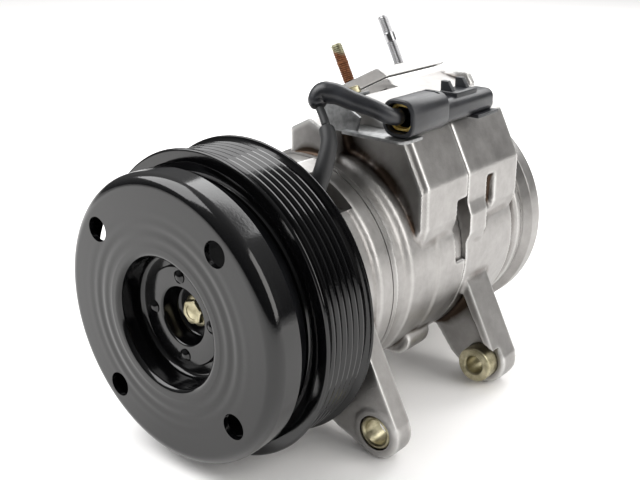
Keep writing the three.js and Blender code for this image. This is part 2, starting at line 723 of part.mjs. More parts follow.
function frontBoxWing(inset) {
  return [
    [20, 30],
    [20, BOX_LEDGE - inset],
    [4 + inset * 0.4, BOX_LEDGE - 3 - inset],
    [-10 + inset, 54 - inset * 0.5],
    [-14 + inset, 42],
  ];
}

function boxCavity(outlines, to) {
  const parts = outlines.map(([outline, from]) => prism(outline, from, to));
  return joinAll(parts).subtract(ring(0, BODY_RADIUS + 2.6, HEAD_JOINT, REAR_JOINT));
}

// Bores and clearances that both blocks share.
function blockCuts(from, to) {
  const bores = cylinderPlaces().map(([x, z]) => rod(x, z, CYLINDER_BORE, from - 1, to + 1, 20));
  return [
    ...bores,
    ...tieBoltHoles(from - 1, to + 1),
    ring(0, CHAMBER_RADIUS, BLOCK_JOINT - CHAMBER_HALF, BLOCK_JOINT + CHAMBER_HALF, 24),
    ring(0, RADIAL_BEARING_OUTER + GAP, from - 1, to + 1, 20),
  ];
}

function makeFrontBlock() {
  const from = HEAD_JOINT;
  const to = BLOCK_JOINT - GAP / 2;
  const drum = turned([
    [0, from],
    [JOINT_RADIUS - 2.2, from],
    [JOINT_RADIUS - 2.2, from + 1],
    [JOINT_RADIUS - 1.8, from + 7],
    [BODY_RADIUS - 0.6, from + 10],
    [BODY_RADIUS - 0.6, DRUM_STEP],
    [BODY_RADIUS, DRUM_STEP + 1],
    [BODY_RADIUS, to],
    [0, to],
  ]);
  const chamfer = BOX_FRONT + BOX_CHAMFER;
  const narrow = 1 - 0.8 * BOX_CHAMFER / BOX_SIDE;
  const box = prism(frontBoxOutline(0), chamfer, to)
    .add(prism(frontBoxOutline(0), BOX_FRONT, chamfer + 1).scale([narrow, 1, narrow]));
  const wing = prism(frontBoxWing(0), BOX_LEFT_FRONT, to);
  const lug = rod(...LUG, LUG_RADIUS, ...LUG_SPAN, 20);
  const lumpOutline = [[12, 40], [34, 40], [35, 52], [28, 62], [15, 62], [9, 50]];
  const lump = prism(lumpOutline, BOX_FRONT - 12, BOX_FRONT + 2);
  const body = joinAll([drum, box, wing, lug, lump]);
  const cavity = boxCavity([
    [frontBoxOutline(BOX_WALL), BOX_FRONT + BOX_CHAMFER + BOX_WALL],
    [frontBoxWing(BOX_WALL), BOX_LEFT_FRONT + BOX_WALL],
  ], to + 1);
  return cutAll(body, [...blockCuts(from, to), cavity, sideRecess(to - RECESS_RISE, to + 1)]);
}

// Shallow hollow cast in the drum's side in front of the block joint.
function sideRecess(from, to) {
  const floor = BODY_RADIUS - 2.2;
  const outer = arc(0, 0, BODY_RADIUS + 9, -18, 3, 3);
  return prism([...outer, ...arc(0, 0, floor, 3, -29, 5)], from, to);
}

// Cored pocket in the sloping wall under the box.
function sidePocket(from, to) {
  const outline = [[BODY_RADIUS + 0.8, -16], [BOX_SIDE + 4, -8], [BOX_SIDE + 4, 9], [BOX_SIDE - 5.5, 9],
    [BODY_RADIUS + 1.3, 0]];
  return prism(outline, from, to);
}

function makeRearBlock() {
  const from = BLOCK_JOINT + GAP / 2;
  const to = REAR_JOINT - GAP;
  const drum = turned([
    [0, from],
    [BODY_RADIUS, from],
    [BODY_RADIUS, REAR_STEP[0]],
    [JOINT_RADIUS - 1.4, REAR_STEP[0] + 1.4],
    [JOINT_RADIUS - 1.4, REAR_STEP[1] - 1.4],
    [JOINT_RADIUS, REAR_STEP[1]],
    [JOINT_RADIUS, to],
    [0, to],
  ]);
  const ear = prism(earOutline([[12.5, -70.5], [7, -45]], EAR_RADIUS + 0.2), ...REAR_EAR);
  const webOutline = [[EAR_SIDE, -20], [EAR_SIDE, -EAR_DROP + 4], [EAR_SIDE - 4, -EAR_DROP + 9],
    [EAR_SIDE - 6, -20]];
  const web = prism(webOutline, REAR_EAR[0] - 6, REAR_EAR[0] + 1);
  const r = BODY_RADIUS;
  const bossOutline = [[r - 6, 2], [r + 6.3, 2], [r + 5.3, -6], [r + 1.3, -14], [r - 4.2, -19],
    [r - 9.2, -19]];
  const boss = prism(bossOutline, from, POCKET[0] - 2);
  const box = prism(boxOutline(0), from, BOX_REAR);
  const ribOutline = [[36, BOX_TOP - 4], [39.5, BOX_TOP - 2], [56.5, 60.5], [57.5, 54], [50, 52]];
  const rib = prism(ribOutline, BOX_REAR - 4.5, BOX_REAR);
  const body = joinAll([drum, box, ear, web, boss, rib]);
  const holeFront = REAR_EAR[0] - BUSH_STANDS_OUT - 4;
  const bushHole = rod(EAR_X, -EAR_DROP, BUSH_RADIUS + GAP, holeFront, REAR_EAR[1] + 1);
  return cutAll(body, [
    ...blockCuts(from, to),
    boxCavity([[boxOutline(BOX_WALL), from - 1]], BOX_REAR - 6),
    sidePocket(...POCKET),
    bushHole,
    ...portBores(BOX_TOP - BOX_WALL - 3, BOX_TOP + 1),
  ]);
}

function makeEarBush(radius, bore, from, to) {
  return turned([
    [bore, from + 0.6],
    [bore + 0.6, from],
    [radius - 0.8, from],
    [radius, from + 0.8],
    [radius, to],
    [bore, to],
  ], SMALL_SIDES).translate([EAR_X, 0, -EAR_DROP]);
}

function makeRearHead() {
  const shell = turned([
    [0, REAR_JOINT + 4],
    [20, REAR_JOINT + 4],
    [20, REAR_JOINT + VALVE_PLATE + GAP],
    [24, REAR_JOINT + VALVE_PLATE + GAP],
    [24, REAR_JOINT + 7],
    [40, REAR_JOINT + 7],
    [VALVE_PLATE_RADIUS + GAP, REAR_JOINT + 3.5],
    [VALVE_PLATE_RADIUS + GAP, REAR_JOINT],
    [JOINT_RADIUS, REAR_JOINT],
    [JOINT_RADIUS, REAR_JOINT + 2],
    [REAR_RADIUS, REAR_JOINT + 5],
    [REAR_RADIUS, REAR_END - 6],
    ...arc(REAR_RADIUS - 4, REAR_END - 4, 4, 30, 90, 2),
    [34, REAR_END],
    [30, REAR_END - 2],
    [0, REAR_END - 2],
  ]);
  return cutAll(shell, tieBoltHoles(REAR_JOINT - 1, REAR_END - 6));
}

// Valve plate with a port over each cylinder.
function makeValvePlate(from) {
  const plate = ring(0, VALVE_PLATE_RADIUS, from, from + VALVE_PLATE);
  const ports = around(CYLINDER_COUNT, CYLINDER_CIRCLE + 6, 90)
    .map(([x, z]) => rod(x, z, 3, from - 1, from + VALVE_PLATE + 1, 8));
  const bore = ring(0, SHAFT_RADIUS + RUNNING, from - 1, from + VALVE_PLATE + 1, 20);
  return cutAll(plate, [...ports, bore]);
}

function makeTieBolt([x, z]) {
  const face = TIE_BOLT_SEAT - GAP;
  const head = prism(around(6, TIE_BOLT_FLATS / Math.sqrt(3), 0), face - TIE_BOLT_HEAD, face);
  const shank = ring(0, TIE_BOLT_RADIUS, face - 1, REAR_END - 7, 8);
  return head.add(shank).translate([x, 0, z]);
}

// Swash plate leaning on its hub, so that one turn drives each piston through its stroke.
function makeSwashPlate() {
  const lean = THREE.MathUtils.radToDeg(Math.atan(STROKE / 2 / CYLINDER_CIRCLE));
  const plate = ring(0, SWASH_RADIUS, -SWASH_THICK / 2, SWASH_THICK / 2, 24).rotate([lean, 0, 0]);
  const hub = ring(0, SWASH_HUB_RADIUS, -SWASH_HUB_HALF, SWASH_HUB_HALF, SMALL_SIDES);
  const bore = ring(0, SHAFT_RADIUS + GAP, -2 * SWASH_HUB_HALF, 2 * SWASH_HUB_HALF, SMALL_SIDES);
  return plate.add(hub).subtract(bore).translate([0, BLOCK_JOINT, 0]);
}

function makeThrustBearing(side) {
  const near = SWASH_HUB_HALF + GAP;
  const far = CHAMBER_HALF - GAP;
  const stations = [near, far].map((d) => BLOCK_JOINT + side * d).sort((a, b) => a - b);
  return ring(SHAFT_RADIUS + GAP, SWASH_HUB_RADIUS, ...stations, SMALL_SIDES);
}

function makeShaft() {
  const front = HUB_CUP_FLOOR + HUB_FLOOR_THICK + 2 * GAP + 0.5;
  const shaft = turned([
    [0, front],
    [SHAFT_END_RADIUS, front],
    [SHAFT_END_RADIUS, SHAFT_SHOULDER - 2],
    [SHAFT_RADIUS, SHAFT_SHOULDER],
    [SHAFT_RADIUS, SHAFT_BACK],
    [0, SHAFT_BACK],
  ], SMALL_SIDES);
  const bolt = ring(0, BOLT_SHANK_RADIUS + GAP, front - 1, BOLT_FACE + BOLT_SHANK_LENGTH + 8, 16);
  return shaft.subtract(bolt);
}

function makeRadialBearing(from) {
  return ring(SHAFT_RADIUS + GAP, RADIAL_BEARING_OUTER, from, from + RADIAL_BEARING_WIDTH, SMALL_SIDES);
}

// Double-headed piston: two heads joined by a bridge that passes outside the swash plate.
function makePiston([x, z]) {
  const radius = CYLINDER_BORE - PISTON_FIT;
  const half = (REAR_JOINT - HEAD_JOINT) / 2 - STROKE / 2 - 1;
  const middle = (REAR_JOINT + HEAD_JOINT) / 2;
  const bar = ring(0, radius, middle - half, middle + half, 20);
  const slotFrom = middle - half + PISTON_HEAD;
  const slotTo = middle + half - PISTON_HEAD;
  const slotOuter = SWASH_RADIUS + 1.6 - CYLINDER_CIRCLE;
  const slot = block([3 * radius, slotTo - slotFrom, 3 * radius],
    [slotOuter - 1.5 * radius, middle, 0]);
  const angle = THREE.MathUtils.radToDeg(Math.atan2(z, x));
  return bar.subtract(slot).rotate([0, -angle, 0]).translate([x, 0, z]);
}

// ---------------------------------------------------------------- ports, studs, connector
function makeStud([x, station, tip]) {
  const base = BOX_TOP + PORT_BLOCK + 2 * GAP;
  const stud = new THREE.CylinderGeometry(STUD_RADIUS, STUD_RADIUS, tip - base - 2, 16);
  stud.rotateX(Math.PI / 2);
  stud.translate(x, station, (tip - 2 + base) / 2);
  const point = new THREE.CylinderGeometry(STUD_RADIUS - 0.9, STUD_RADIUS - 0.2, 2.2, 16);
  point.rotateX(Math.PI / 2);
  point.translate(x, station, tip - 1.1);
  return toSolid(stud).add(toSolid(point));
}

// Suction and discharge bores, cut alike through the port block and the box's top wall.
function portBores(from, to) {
  return PORTS.map(([station, radius]) => {
    const bore = new THREE.CylinderGeometry(radius, radius, to - from, SMALL_SIDES);
    bore.rotateX(Math.PI / 2);
    bore.translate(PORT_X, station, (from + to) / 2);
    return toSolid(bore);
  });
}

function makePortBlock() {
  const base = BOX_TOP + GAP;
  const top = base + PORT_BLOCK;
  const [left, right] = PORT_BLOCK_SIDES;
  const plate = prism([[left, base], [right, base], [right - 4, top - 0.6], [right - 5, top],
    [left + 4, top], [left, top - 3]], ...PORT_BLOCK_SPAN);
  return cutAll(plate, portBores(base - 1, top + 1));
}

// Rounded slab of the connector: half width along the box's side and half height out of it.
function stadium(x, z, halfOut, halfUp) {
  const r = Math.min(halfOut, halfUp) * 0.75;
  return [
    ...arc(x + halfOut - r, z + halfUp - r, r, 0, 90, 4),
    ...arc(x - halfOut + r, z + halfUp - r, r, 90, 180, 4),
    ...arc(x - halfOut + r, z - halfUp + r, r, 180, 270, 4),
    ...arc(x + halfOut - r, z - halfUp + r, r, 270, 360, 4),
  ];
}

function makeConnectorShell() {
  const [x, z] = CONNECTOR;
  const [out, up] = CONNECTOR_HALF;
  const shell = prism(stadium(x, z, out, up), CONNECTOR_FRONT, CONNECTOR_STEP);
  const mouth = prism(stadium(x, z, out - 2, up - 2), CONNECTOR_FRONT - 1, CONNECTOR_FRONT + 17);
  return shell.subtract(mouth);
}

// Plug behind the shell, with its release latch and teeth on top and a flat foot below.
function makeConnectorPlug() {
  const [x, z] = [CONNECTOR[0] - 1, CONNECTOR[1] - PLUG_DROP];
  const from = CONNECTOR_STEP + GAP;
  const body = prism(stadium(x, z, ...PLUG_HALF), from, CONNECTOR_REAR);
  const low = z - PLUG_HALF[1];
  const footOutline = [[x - 1, low + 1], [x + 8.5, low + 1], [x + 8.5, low - 0.6], [x - 1, low - 0.6]];
  const foot = prism(footOutline, CONNECTOR_REAR - 17, CONNECTOR_REAR + 1);
  const top = z + PLUG_HALF[1] - 1;
  const latchOutline = [[x - 5.5, top], [x + 4, top], [x + 4, top + 2.8], [x - 5.5, top + 2.8]];
  const latch = prism(latchOutline, ...LATCH);
  const teeth = LATCH_TEETH.map((y) => prism(
    [[x - 5.5, top], [x + 3, top], [x - 2, top + 7.2], [x - 5.5, top + 7.2]], y - 1.3, y + 1.3));
  return joinAll([body, foot, latch, ...teeth]);
}

function makeConnectorSeal() {
  const [x, z] = CONNECTOR;
  const [out, up] = CONNECTOR_HALF.map((half) => half - 2 - GAP);
  const outer = prism(stadium(x, z, out, up), CONNECTOR_FRONT + 3, CONNECTOR_FRONT + 6);
  return outer.subtract(prism(stadium(x, z, out - 1.2, up - 1.2), CONNECTOR_FRONT, CONNECTOR_FRONT + 8));
}

// Bent steel strip, as the object stands: a shelf under the connector's mouth, an upright leaf,
// and a flap that runs back from the leaf over the front box's top, where the screw holds it.
function makeBracket() {
  const [x, z] = CONNECTOR;
  const top = z - CONNECTOR_HALF[1] - GAP;
  const back = BOX_FRONT - 2 * GAP;
  const shelf = prism([[x - 27, top], [x + 5, top], [x + 5, top - BRACKET_THICK],
    [x - 27, top - BRACKET_THICK]], BRACKET_FRONT, back);
  const under = BOX_LEDGE + GAP;
  const over = under + BRACKET_THICK;
  const [left, right] = BRACKET_FLAP;
  const flap = [[left, under], [right, under], [right, over], [left, over]].map(leaning);
  const leafOutline = [[x - 40, top - 1.4], leaning([left, over]), leaning([right, over]),
    [x - 19.5, top + 6.2], [x - 21.5, top - BRACKET_THICK]];
  const leaf = prism(leafOutline, BRACKET_LEAF, BRACKET_LEAF + BRACKET_THICK);
  return joinAll([shelf, leaf, prism(flap, BRACKET_LEAF, BRACKET_SCREW[1] + 6)]);
}

// A place in the compressor's upright frame, given as the object stands.
function leaning([x, z]) {
  const turn = THREE.MathUtils.degToRad(ROLL);
  return [x * Math.cos(turn) - z * Math.sin(turn), x * Math.sin(turn) + z * Math.cos(turn)];
}

function makeBracketScrew() {
  const from = BOX_LEDGE + BRACKET_THICK + 2 * GAP;
  const [r, height] = [BRACKET_SCREW_RADIUS, BRACKET_SCREW_HEAD];
  const head = new THREE.CylinderGeometry(r, r, height, 6);
  head.rotateX(Math.PI / 2);
  head.translate(BRACKET_SCREW[0], BRACKET_SCREW[1], from + height / 2);
  return toSolid(head);
}

// Rubber boot that carries the lead out of the coil's back and up behind the pulley.
function makeBoot() {
  const [x, z] = LEAD_EXIT;
  return alongCurve([
    [x, COIL_BACK + COIL_PLATE + 2 * GAP, z],
    [x, 55.6, z],
    [x + 1, 58.8, z + 6],
    [x + 3.6, 62.5, z + 19],
    [x + 2.2, 67, z + 27],
    [x - 2, 70.5, z + 32.2],
  ], BOOT_RADIUS, 10, 8);
}

function makeLead() {
  const [x, z] = LEAD_EXIT;
  return alongCurve([
    [x - 2.3, 70.8, z + 32.6],
    [x - 6, 73, z + 36],
    [x - 9.4, 74.6, z + 39],
  ], LEAD_RADIUS, 5, 8);
}

// Convoluted sleeve with an elbow at its end, from the lead up and over to the connector.
function makeSleeve() {
  const [x, z] = LEAD_EXIT;
  const [mouthX, mouthZ] = CONNECTOR;
  return alongCurve([
    [x - 9.7, 74.8, z + 39.3],
    [x - 11.4, 76, z + 41.8],
    [x - 10.4, 77.4, z + 44.3],
    [x - 6.5, 79.4, z + 44.6],
    [x + 1, 84, z + 41.6],
    [mouthX - 7, 88.2, mouthZ + 4.4],
    [mouthX - 2, 92.4, mouthZ + 1.4],
    [mouthX - 1, 95, mouthZ + 0.6],
    [mouthX - 1, CONNECTOR_FRONT + 2.6, mouthZ + 0.5],
  ], SLEEVE_RADIUS, 16, 8);
}

// ---------------------------------------------------------------- the whole object
place(clutch, 'clutch_cover', makeCover(), 'blackPaint');
place(clutch, 'clutch_hub', makeHub(), 'blackPaint');
rivetPlaces().forEach((spot, i) => {
  place(clutch, `hub_rivet_${i + 1}`, makeHubRivet(spot), 'blackPaint');
});
place(clutch, 'hub_bolt', makeHubBolt(), 'zinc');
place(clutch, 'air_gap_shim', makeShim(), 'steel');
place(clutch, 'rubber_damper', makeDamper(), 'rubber');
place(clutch, 'leaf_spring', makeLeafSpring(), 'steel');
place(clutch, 'armature_plate', makeArmature(), 'steel');
springRivetPlaces().forEach((spot, i) => {
  place(clutch, `armature_rivet_${i + 1}`, makeArmatureRivet(spot), 'steel');
});
place(clutch, 'rotor_pulley', makePulley(), 'blackPaint');
place(clutch, 'bearing_outer_race', makeOuterRace(), 'brightSteel');
place(clutch, 'bearing_inner_race', makeInnerRace(), 'brightSteel');
place(clutch, 'bearing_balls_and_cage', makeBallsAndCage(), 'brightSteel');
place(clutch, 'bearing_front_seal', makeBearingSeal(BEARING_FRONT + 0.4), 'rubber');
place(clutch, 'bearing_rear_seal', makeBearingSeal(BEARING_FRONT + BEARING_WIDTH - 1.4), 'rubber');
place(clutch, 'bearing_snap_ring', makeSnapRing(), 'steel');
place(clutch, 'coil_housing', makeCoilHousing(), 'steel');
place(clutch, 'coil_winding', makeWinding(), 'epoxy');
place(clutch, 'coil_boot', makeBoot(), 'rubber');
place(clutch, 'coil_lead', makeLead(), 'rubber');
place(clutch, 'lead_sleeve', makeSleeve(), 'blackPlastic');
place(clutch, 'connector_shell', makeConnectorShell(), 'blackPlastic');
place(clutch, 'connector_plug', makeConnectorPlug(), 'blackPlastic');
place(clutch, 'connector_seal', makeConnectorSeal(), 'sealYellow');
place(clutch, 'connector_bracket', makeBracket(), 'steel');
place(compressor, 'bracket_screw', makeBracketScrew(), 'zinc');

place(compressor, 'front_housing', makeFrontHousing(), 'castAluminium');
place(compressor, 'shaft_seal', makeShaftSeal(), 'rubber');
place(compressor, 'front_ear_bush',
  makeEarBush(FRONT_BUSH_RADIUS, FRONT_BUSH_BORE, ...FRONT_EAR), 'zinc');
place(compressor, 'front_valve_plate', makeValvePlate(HEAD_JOINT - GAP - VALVE_PLATE), 'steel');
place(compressor, 'front_block', makeFrontBlock(), 'castAluminium');
place(compressor, 'rear_block', makeRearBlock(), 'castAluminium');
place(compressor, 'rear_ear_bush',
  makeEarBush(BUSH_RADIUS, BUSH_BORE, REAR_EAR[0] - BUSH_STANDS_OUT, REAR_EAR[1]), 'zinc');
place(compressor, 'rear_valve_plate', makeValvePlate(REAR_JOINT), 'steel');
place(compressor, 'rear_head', makeRearHead(), 'castAluminium');
tieBoltPlaces().forEach((spot, i) => place(compressor, `tie_bolt_${i + 1}`, makeTieBolt(spot), 'steel'));
place(compressor, 'compressor_shaft', makeShaft(), 'steel');
place(compressor, 'swash_plate', makeSwashPlate(), 'steel');
place(compressor, 'front_thrust_bearing', makeThrustBearing(-1), 'brightSteel');
place(compressor, 'rear_thrust_bearing', makeThrustBearing(1), 'brightSteel');
const frontBearing = makeRadialBearing(HEAD_JOINT + RADIAL_BEARING_INSET);
const rearBearing = makeRadialBearing(SHAFT_BACK - RADIAL_BEARING_TAIL - RADIAL_BEARING_WIDTH);
place(compressor, 'front_radial_bearing', frontBearing, 'brightSteel');
place(compressor, 'rear_radial_bearing', rearBearing, 'brightSteel');
cylinderPlaces().forEach((spot, i) => {
  place(compressor, `piston_${i + 1}`, makePiston(spot), 'castAluminium');
});
place(compressor, 'port_block', makePortBlock(), 'castAluminium');
STUDS.forEach((stud, i) => {
  place(compressor, `port_stud_${i + 1}`, makeStud(stud), i ? 'brightSteel' : 'rust');
});

export default object;
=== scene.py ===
import math

import bmesh
import bpy
import numpy as np
from mathutils import Matrix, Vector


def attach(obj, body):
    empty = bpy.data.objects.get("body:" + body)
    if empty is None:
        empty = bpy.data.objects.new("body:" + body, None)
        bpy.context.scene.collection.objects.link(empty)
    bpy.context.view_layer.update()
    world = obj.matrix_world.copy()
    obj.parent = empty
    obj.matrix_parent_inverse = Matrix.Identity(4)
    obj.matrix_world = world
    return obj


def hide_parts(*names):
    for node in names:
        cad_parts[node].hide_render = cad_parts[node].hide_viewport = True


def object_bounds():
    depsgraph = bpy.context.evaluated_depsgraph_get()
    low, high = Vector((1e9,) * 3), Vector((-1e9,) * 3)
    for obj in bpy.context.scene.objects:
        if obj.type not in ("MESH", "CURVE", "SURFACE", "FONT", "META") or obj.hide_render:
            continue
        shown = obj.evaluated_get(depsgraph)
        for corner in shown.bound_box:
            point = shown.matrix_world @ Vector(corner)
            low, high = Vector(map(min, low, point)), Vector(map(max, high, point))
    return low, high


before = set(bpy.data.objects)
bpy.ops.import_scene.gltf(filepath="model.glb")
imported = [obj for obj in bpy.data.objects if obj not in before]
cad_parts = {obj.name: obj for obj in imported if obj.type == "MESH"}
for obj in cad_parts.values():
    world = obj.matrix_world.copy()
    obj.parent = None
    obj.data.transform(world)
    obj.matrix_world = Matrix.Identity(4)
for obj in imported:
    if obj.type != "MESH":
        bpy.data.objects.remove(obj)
cad_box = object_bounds()
MM = 0.001

# ---- Studio: a white sweep under soft boxes, seen from the clutch's right and a little above.
# The floor is matt white card, so the shadows stay pale, and the boxes give the gloss its edges.
BOLT_FACE = 15.4                 # stations are counted from the cover's front, the frame from the bolt
CAMERA_AT = (268.918, -219.023 - BOLT_FACE, 164.957)
CAMERA_TURN = 40.294
CAMERA_TIP = 20.608
CAMERA_LENS = 52.46
SENSOR_WIDTH = 36
SKY_STRENGTH = 0.6
SKY_WHITE_FROM = 0.8             # the sky is white from this height of the unit sphere up
DIM_SIDE = (0.68, -0.68, 0.25)
DIM_SHARE = 0.3
OVERHEAD_SPREAD = 150
SCENE = bpy.context.scene


def colour(code):
    """An sRGB hex colour as linear red, green, blue and alpha."""
    parts = [int(code[i:i + 2], 16) / 255 for i in (1, 3, 5)]
    return [p / 12.92 if p <= 0.04045 else ((p + 0.055) / 1.055) ** 2.4 for p in parts] + [1.0]


def add_node(tree, kind, settings=None, links=None):
    """Adds a node, sets its attributes or sockets by name, and links sockets by name or number."""
    made = tree.nodes.new(kind)
    for name, value in (settings or {}).items():
        if isinstance(name, int) or name in made.inputs.keys():
            made.inputs[name].default_value = value
        else:
            setattr(made, name, value)
    for name, source in (links or {}).items():
        tree.links.new(source, made.inputs[name])
    return made


def new_material(name):
    """An empty node material and its tree."""
    material = bpy.data.materials.new(name)
    material.use_nodes = True
    material.node_tree.nodes.clear()
    return material, material.node_tree


def surface(material, look, links=None):
    """Gives a material its shader, from set values and linked ones, and its output."""
    shader = add_node(material.node_tree, "ShaderNodeBsdfPrincipled", look, links)
    add_node(material.node_tree, "ShaderNodeOutputMaterial", links={0: shader.outputs[0]})
    return material


def object_noise(tree, scale, detail=3.0, rough=0.5):
    """Noise of a given number of waves a metre in the object's own space."""
    place = add_node(tree, "ShaderNodeTexCoord")
    settings = {"Scale": scale, "Detail": detail, "Roughness": rough}
    return add_node(tree, "ShaderNodeTexNoise", settings, {"Vector": place.outputs["Object"]}).outputs[0]


def two_tone(tree, source, dark, light, low=0.0, high=1.0):
    """A colour that runs from dark to light as the source climbs from low to high."""
    ramp = add_node(tree, "ShaderNodeValToRGB", links={0: source})
    first, last = ramp.color_ramp.elements
    first.position, last.position = low, high
    first.color, last.color = colour(dark), colour(light)
    return ramp.outputs[0]


def scaled(tree, source, start, end, low=0.0, high=1.0):
    """A number that runs from start to end as the source goes from low to high."""
    settings = {"From Min": low, "From Max": high, "To Min": start, "To Max": end}
    return add_node(tree, "ShaderNodeMapRange", settings, {"Value": source}).outputs[0]


def relief(tree, source, strength, depth):
    """Fine bumps read from a pattern, at most as deep as given in metres."""
    settings = {"Strength": strength, "Distance": depth}
    return add_node(tree, "ShaderNodeBump", settings, {"Height": source}).outputs[0]


def white_card():
    """Matt white paper board: no gloss, a hint of warmth."""
    material, tree = new_material("white_card")
    return surface(material, {"Base Color": colour("#fbfaf9"), "Roughness": 0.9, "Specular IOR Level": 0.1})


def lay_floor():
    """A card far wider than any view, a hair under the object's lowest point."""
    half = 60.0
    height = cad_box[0][2] - 0.2 * MM
    mesh = bpy.data.meshes.new("floor")
    corners = [(-half, -half, height), (half, -half, height), (half, half, height), (-half, half, height)]
    mesh.from_pydata(corners, [], [(0, 1, 2, 3)])
    floor = bpy.data.objects.new("floor", mesh)
    SCENE.collection.objects.link(floor)
    mesh.materials.append(white_card())


def soft_box(name, at, towards, size, power, tint):
    """A rectangular lamp at a point, facing another point, both in metres."""
    lamp = bpy.data.lights.new(name, "AREA")
    lamp.shape = "RECTANGLE"
    lamp.size, lamp.size_y = size
    lamp.energy = power
    lamp.color = colour(tint)[:3]
    holder = bpy.data.objects.new(name, lamp)
    SCENE.collection.objects.link(holder)
    holder.location = at
    aim = np.array(towards) - np.array(at)
    flat = math.hypot(aim[0], aim[1])
    holder.rotation_euler = (math.pi / 2 + math.atan2(aim[2], flat), 0, math.atan2(-aim[0], aim[1]))


def soft_overhead(strength):
    """Even light from above for the card alone: it is kept out of the metal's reflections."""
    lamp = bpy.data.lights.new("overhead", "SUN")
    lamp.energy = strength
    lamp.angle = math.radians(OVERHEAD_SPREAD)
    holder = bpy.data.objects.new("overhead", lamp)
    SCENE.collection.objects.link(holder)
    holder.visible_glossy = False


def set_camera():
    lens = bpy.data.cameras.new("camera")
    lens.lens = CAMERA_LENS
    lens.sensor_width = SENSOR_WIDTH
    holder = bpy.data.objects.new("camera", lens)
    SCENE.collection.objects.link(holder)
    holder.location = [v * MM for v in CAMERA_AT]
    holder.rotation_euler = (math.radians(90 - CAMERA_TIP), 0, math.radians(CAMERA_TURN))
    SCENE.camera = holder


def set_surroundings():
    """Pale room: light from above, dim on the clutch's side, so that metal has something to show."""
    world = bpy.data.worlds.new("studio")
    SCENE.world = world
    world.use_nodes = True
    tree = world.node_tree
    tree.nodes.clear()
    place = add_node(tree, "ShaderNodeTexCoord").outputs["Generated"]
    split = add_node(tree, "ShaderNodeSeparateXYZ", links={0: place})
    sky = two_tone(tree, split.outputs["Z"], "#5f6062", "#ffffff", 0.0, SKY_WHITE_FROM)
    near = add_node(tree, "ShaderNodeVectorMath", {"operation": "DOT_PRODUCT", 1: DIM_SIDE}, {0: place})
    dim = scaled(tree, near.outputs["Value"], 1.0, DIM_SHARE, -0.2, 0.8)
    shade = add_node(tree, "ShaderNodeVectorMath", {"operation": "SCALE"}, {0: sky, 3: dim})
    glow = add_node(tree, "ShaderNodeBackground", {"Strength": SKY_STRENGTH}, {"Color": shade.outputs[0]})
    add_node(tree, "ShaderNodeOutputWorld", links={0: glow.outputs[0]})


set_camera()
lay_floor()
set_surroundings()
SCENE.view_settings.view_transform = "Standard"
soft_box("key_box", (-0.55, -0.35, 0.85), (0, 0.05, 0), (0.9, 0.9), 13, "#ffffff")
soft_box("right_box", (1.0, 0.35, 0.55), (0, 0.1, 0), (0.7, 1.0), 8, "#fffdfa")
soft_box("back_box", (-0.2, 1.2, 0.9), (0, 0.1, 0), (1.4, 0.8), 14, "#ffffff")
soft_overhead(1.5)


# ---- Clutch cover: one drawn steel pressing, baked with thick gloss black enamel.
# A flat face with faint draw rings, a rolled-in mouth, a round shoulder and a short skirt.
COVER_RADIUS = 62.5
COVER_SKIRT = 14.5
COVER_WALL = 2.4
COVER_SHOULDER = 5.5
MOUTH_RADIUS = 28.1
MOUTH_LIP = 2.6
FLANGE_STATION = 12.9
HUB_CUP = 12.5
HOLE_CIRCLE = 50.3
HOLE_RADIUS = 5.5
HOLE_START = 50.35
MOUTH_CORNER = 2.5
FLANGE_WALL = 1.9
FLANGE_BORE = 14.9               # clears the hub's cup
RINGS_FROM = 33                  # draw rings: radii, pitch, depth, and where they are strongest
RINGS_TO = 55
RINGS_PITCH = 5.5
RINGS_DEPTH = 0.14
RINGS_MIDDLE = 39
RINGS_SPREAD = 6.5
FINE = 256


def arc(x, y, radius, start, end, steps):
    """Points of an arc about (x, y), angles in degrees."""
    angles = np.radians(np.linspace(start, end, steps + 1))
    return np.column_stack([x + radius * np.cos(angles), y + radius * np.sin(angles)])


def make_piece(name, points, faces, smooth=30):
    """A mesh object from points in millimetres, with its doubles merged and its faces turned out."""
    mesh = bpy.data.meshes.new(name)
    mesh.from_pydata(np.asarray(points, dtype=float) * MM, [], [tuple(f) for f in faces])
    shaped = bmesh.new()
    shaped.from_mesh(mesh)
    bmesh.ops.remove_doubles(shaped, verts=shaped.verts, dist=2e-7)
    bmesh.ops.dissolve_degenerate(shaped, edges=shaped.edges, dist=1e-7)
    bmesh.ops.recalc_face_normals(shaped, faces=shaped.faces)
    shaped.to_mesh(mesh)
    shaped.free()
    piece = bpy.data.objects.new(name, mesh)
    SCENE.collection.objects.link(piece)
    soften(piece, smooth)
    return piece


def soften(piece, angle):
    """Shades smooth across edges that bend less than the angle, in degrees."""
    mesh = piece.data
    mesh.shade_smooth()
    shaped = bmesh.new()
    shaped.from_mesh(mesh)
    limit = math.radians(angle)
    for edge in shaped.edges:
        edge.smooth = len(edge.link_faces) == 2 and edge.calc_face_angle(0.0) < limit
    shaped.to_mesh(mesh)
    shaped.free()


def grid_faces(rows, columns, wrap_rows, wrap_columns):
    """Quads between neighbours of a grid of points, closing on itself either way."""
    i = np.arange(rows if wrap_rows else rows - 1)
    j = np.arange(columns if wrap_columns else columns - 1)
    a, b = np.meshgrid(i, j, indexing="ij")
    a2 = (a + 1) % rows
    b2 = (b + 1) % columns
    quads = np.stack([a * columns + b, a * columns + b2, a2 * columns + b2, a2 * columns + b], axis=-1)
    return quads.reshape(-1, 4)


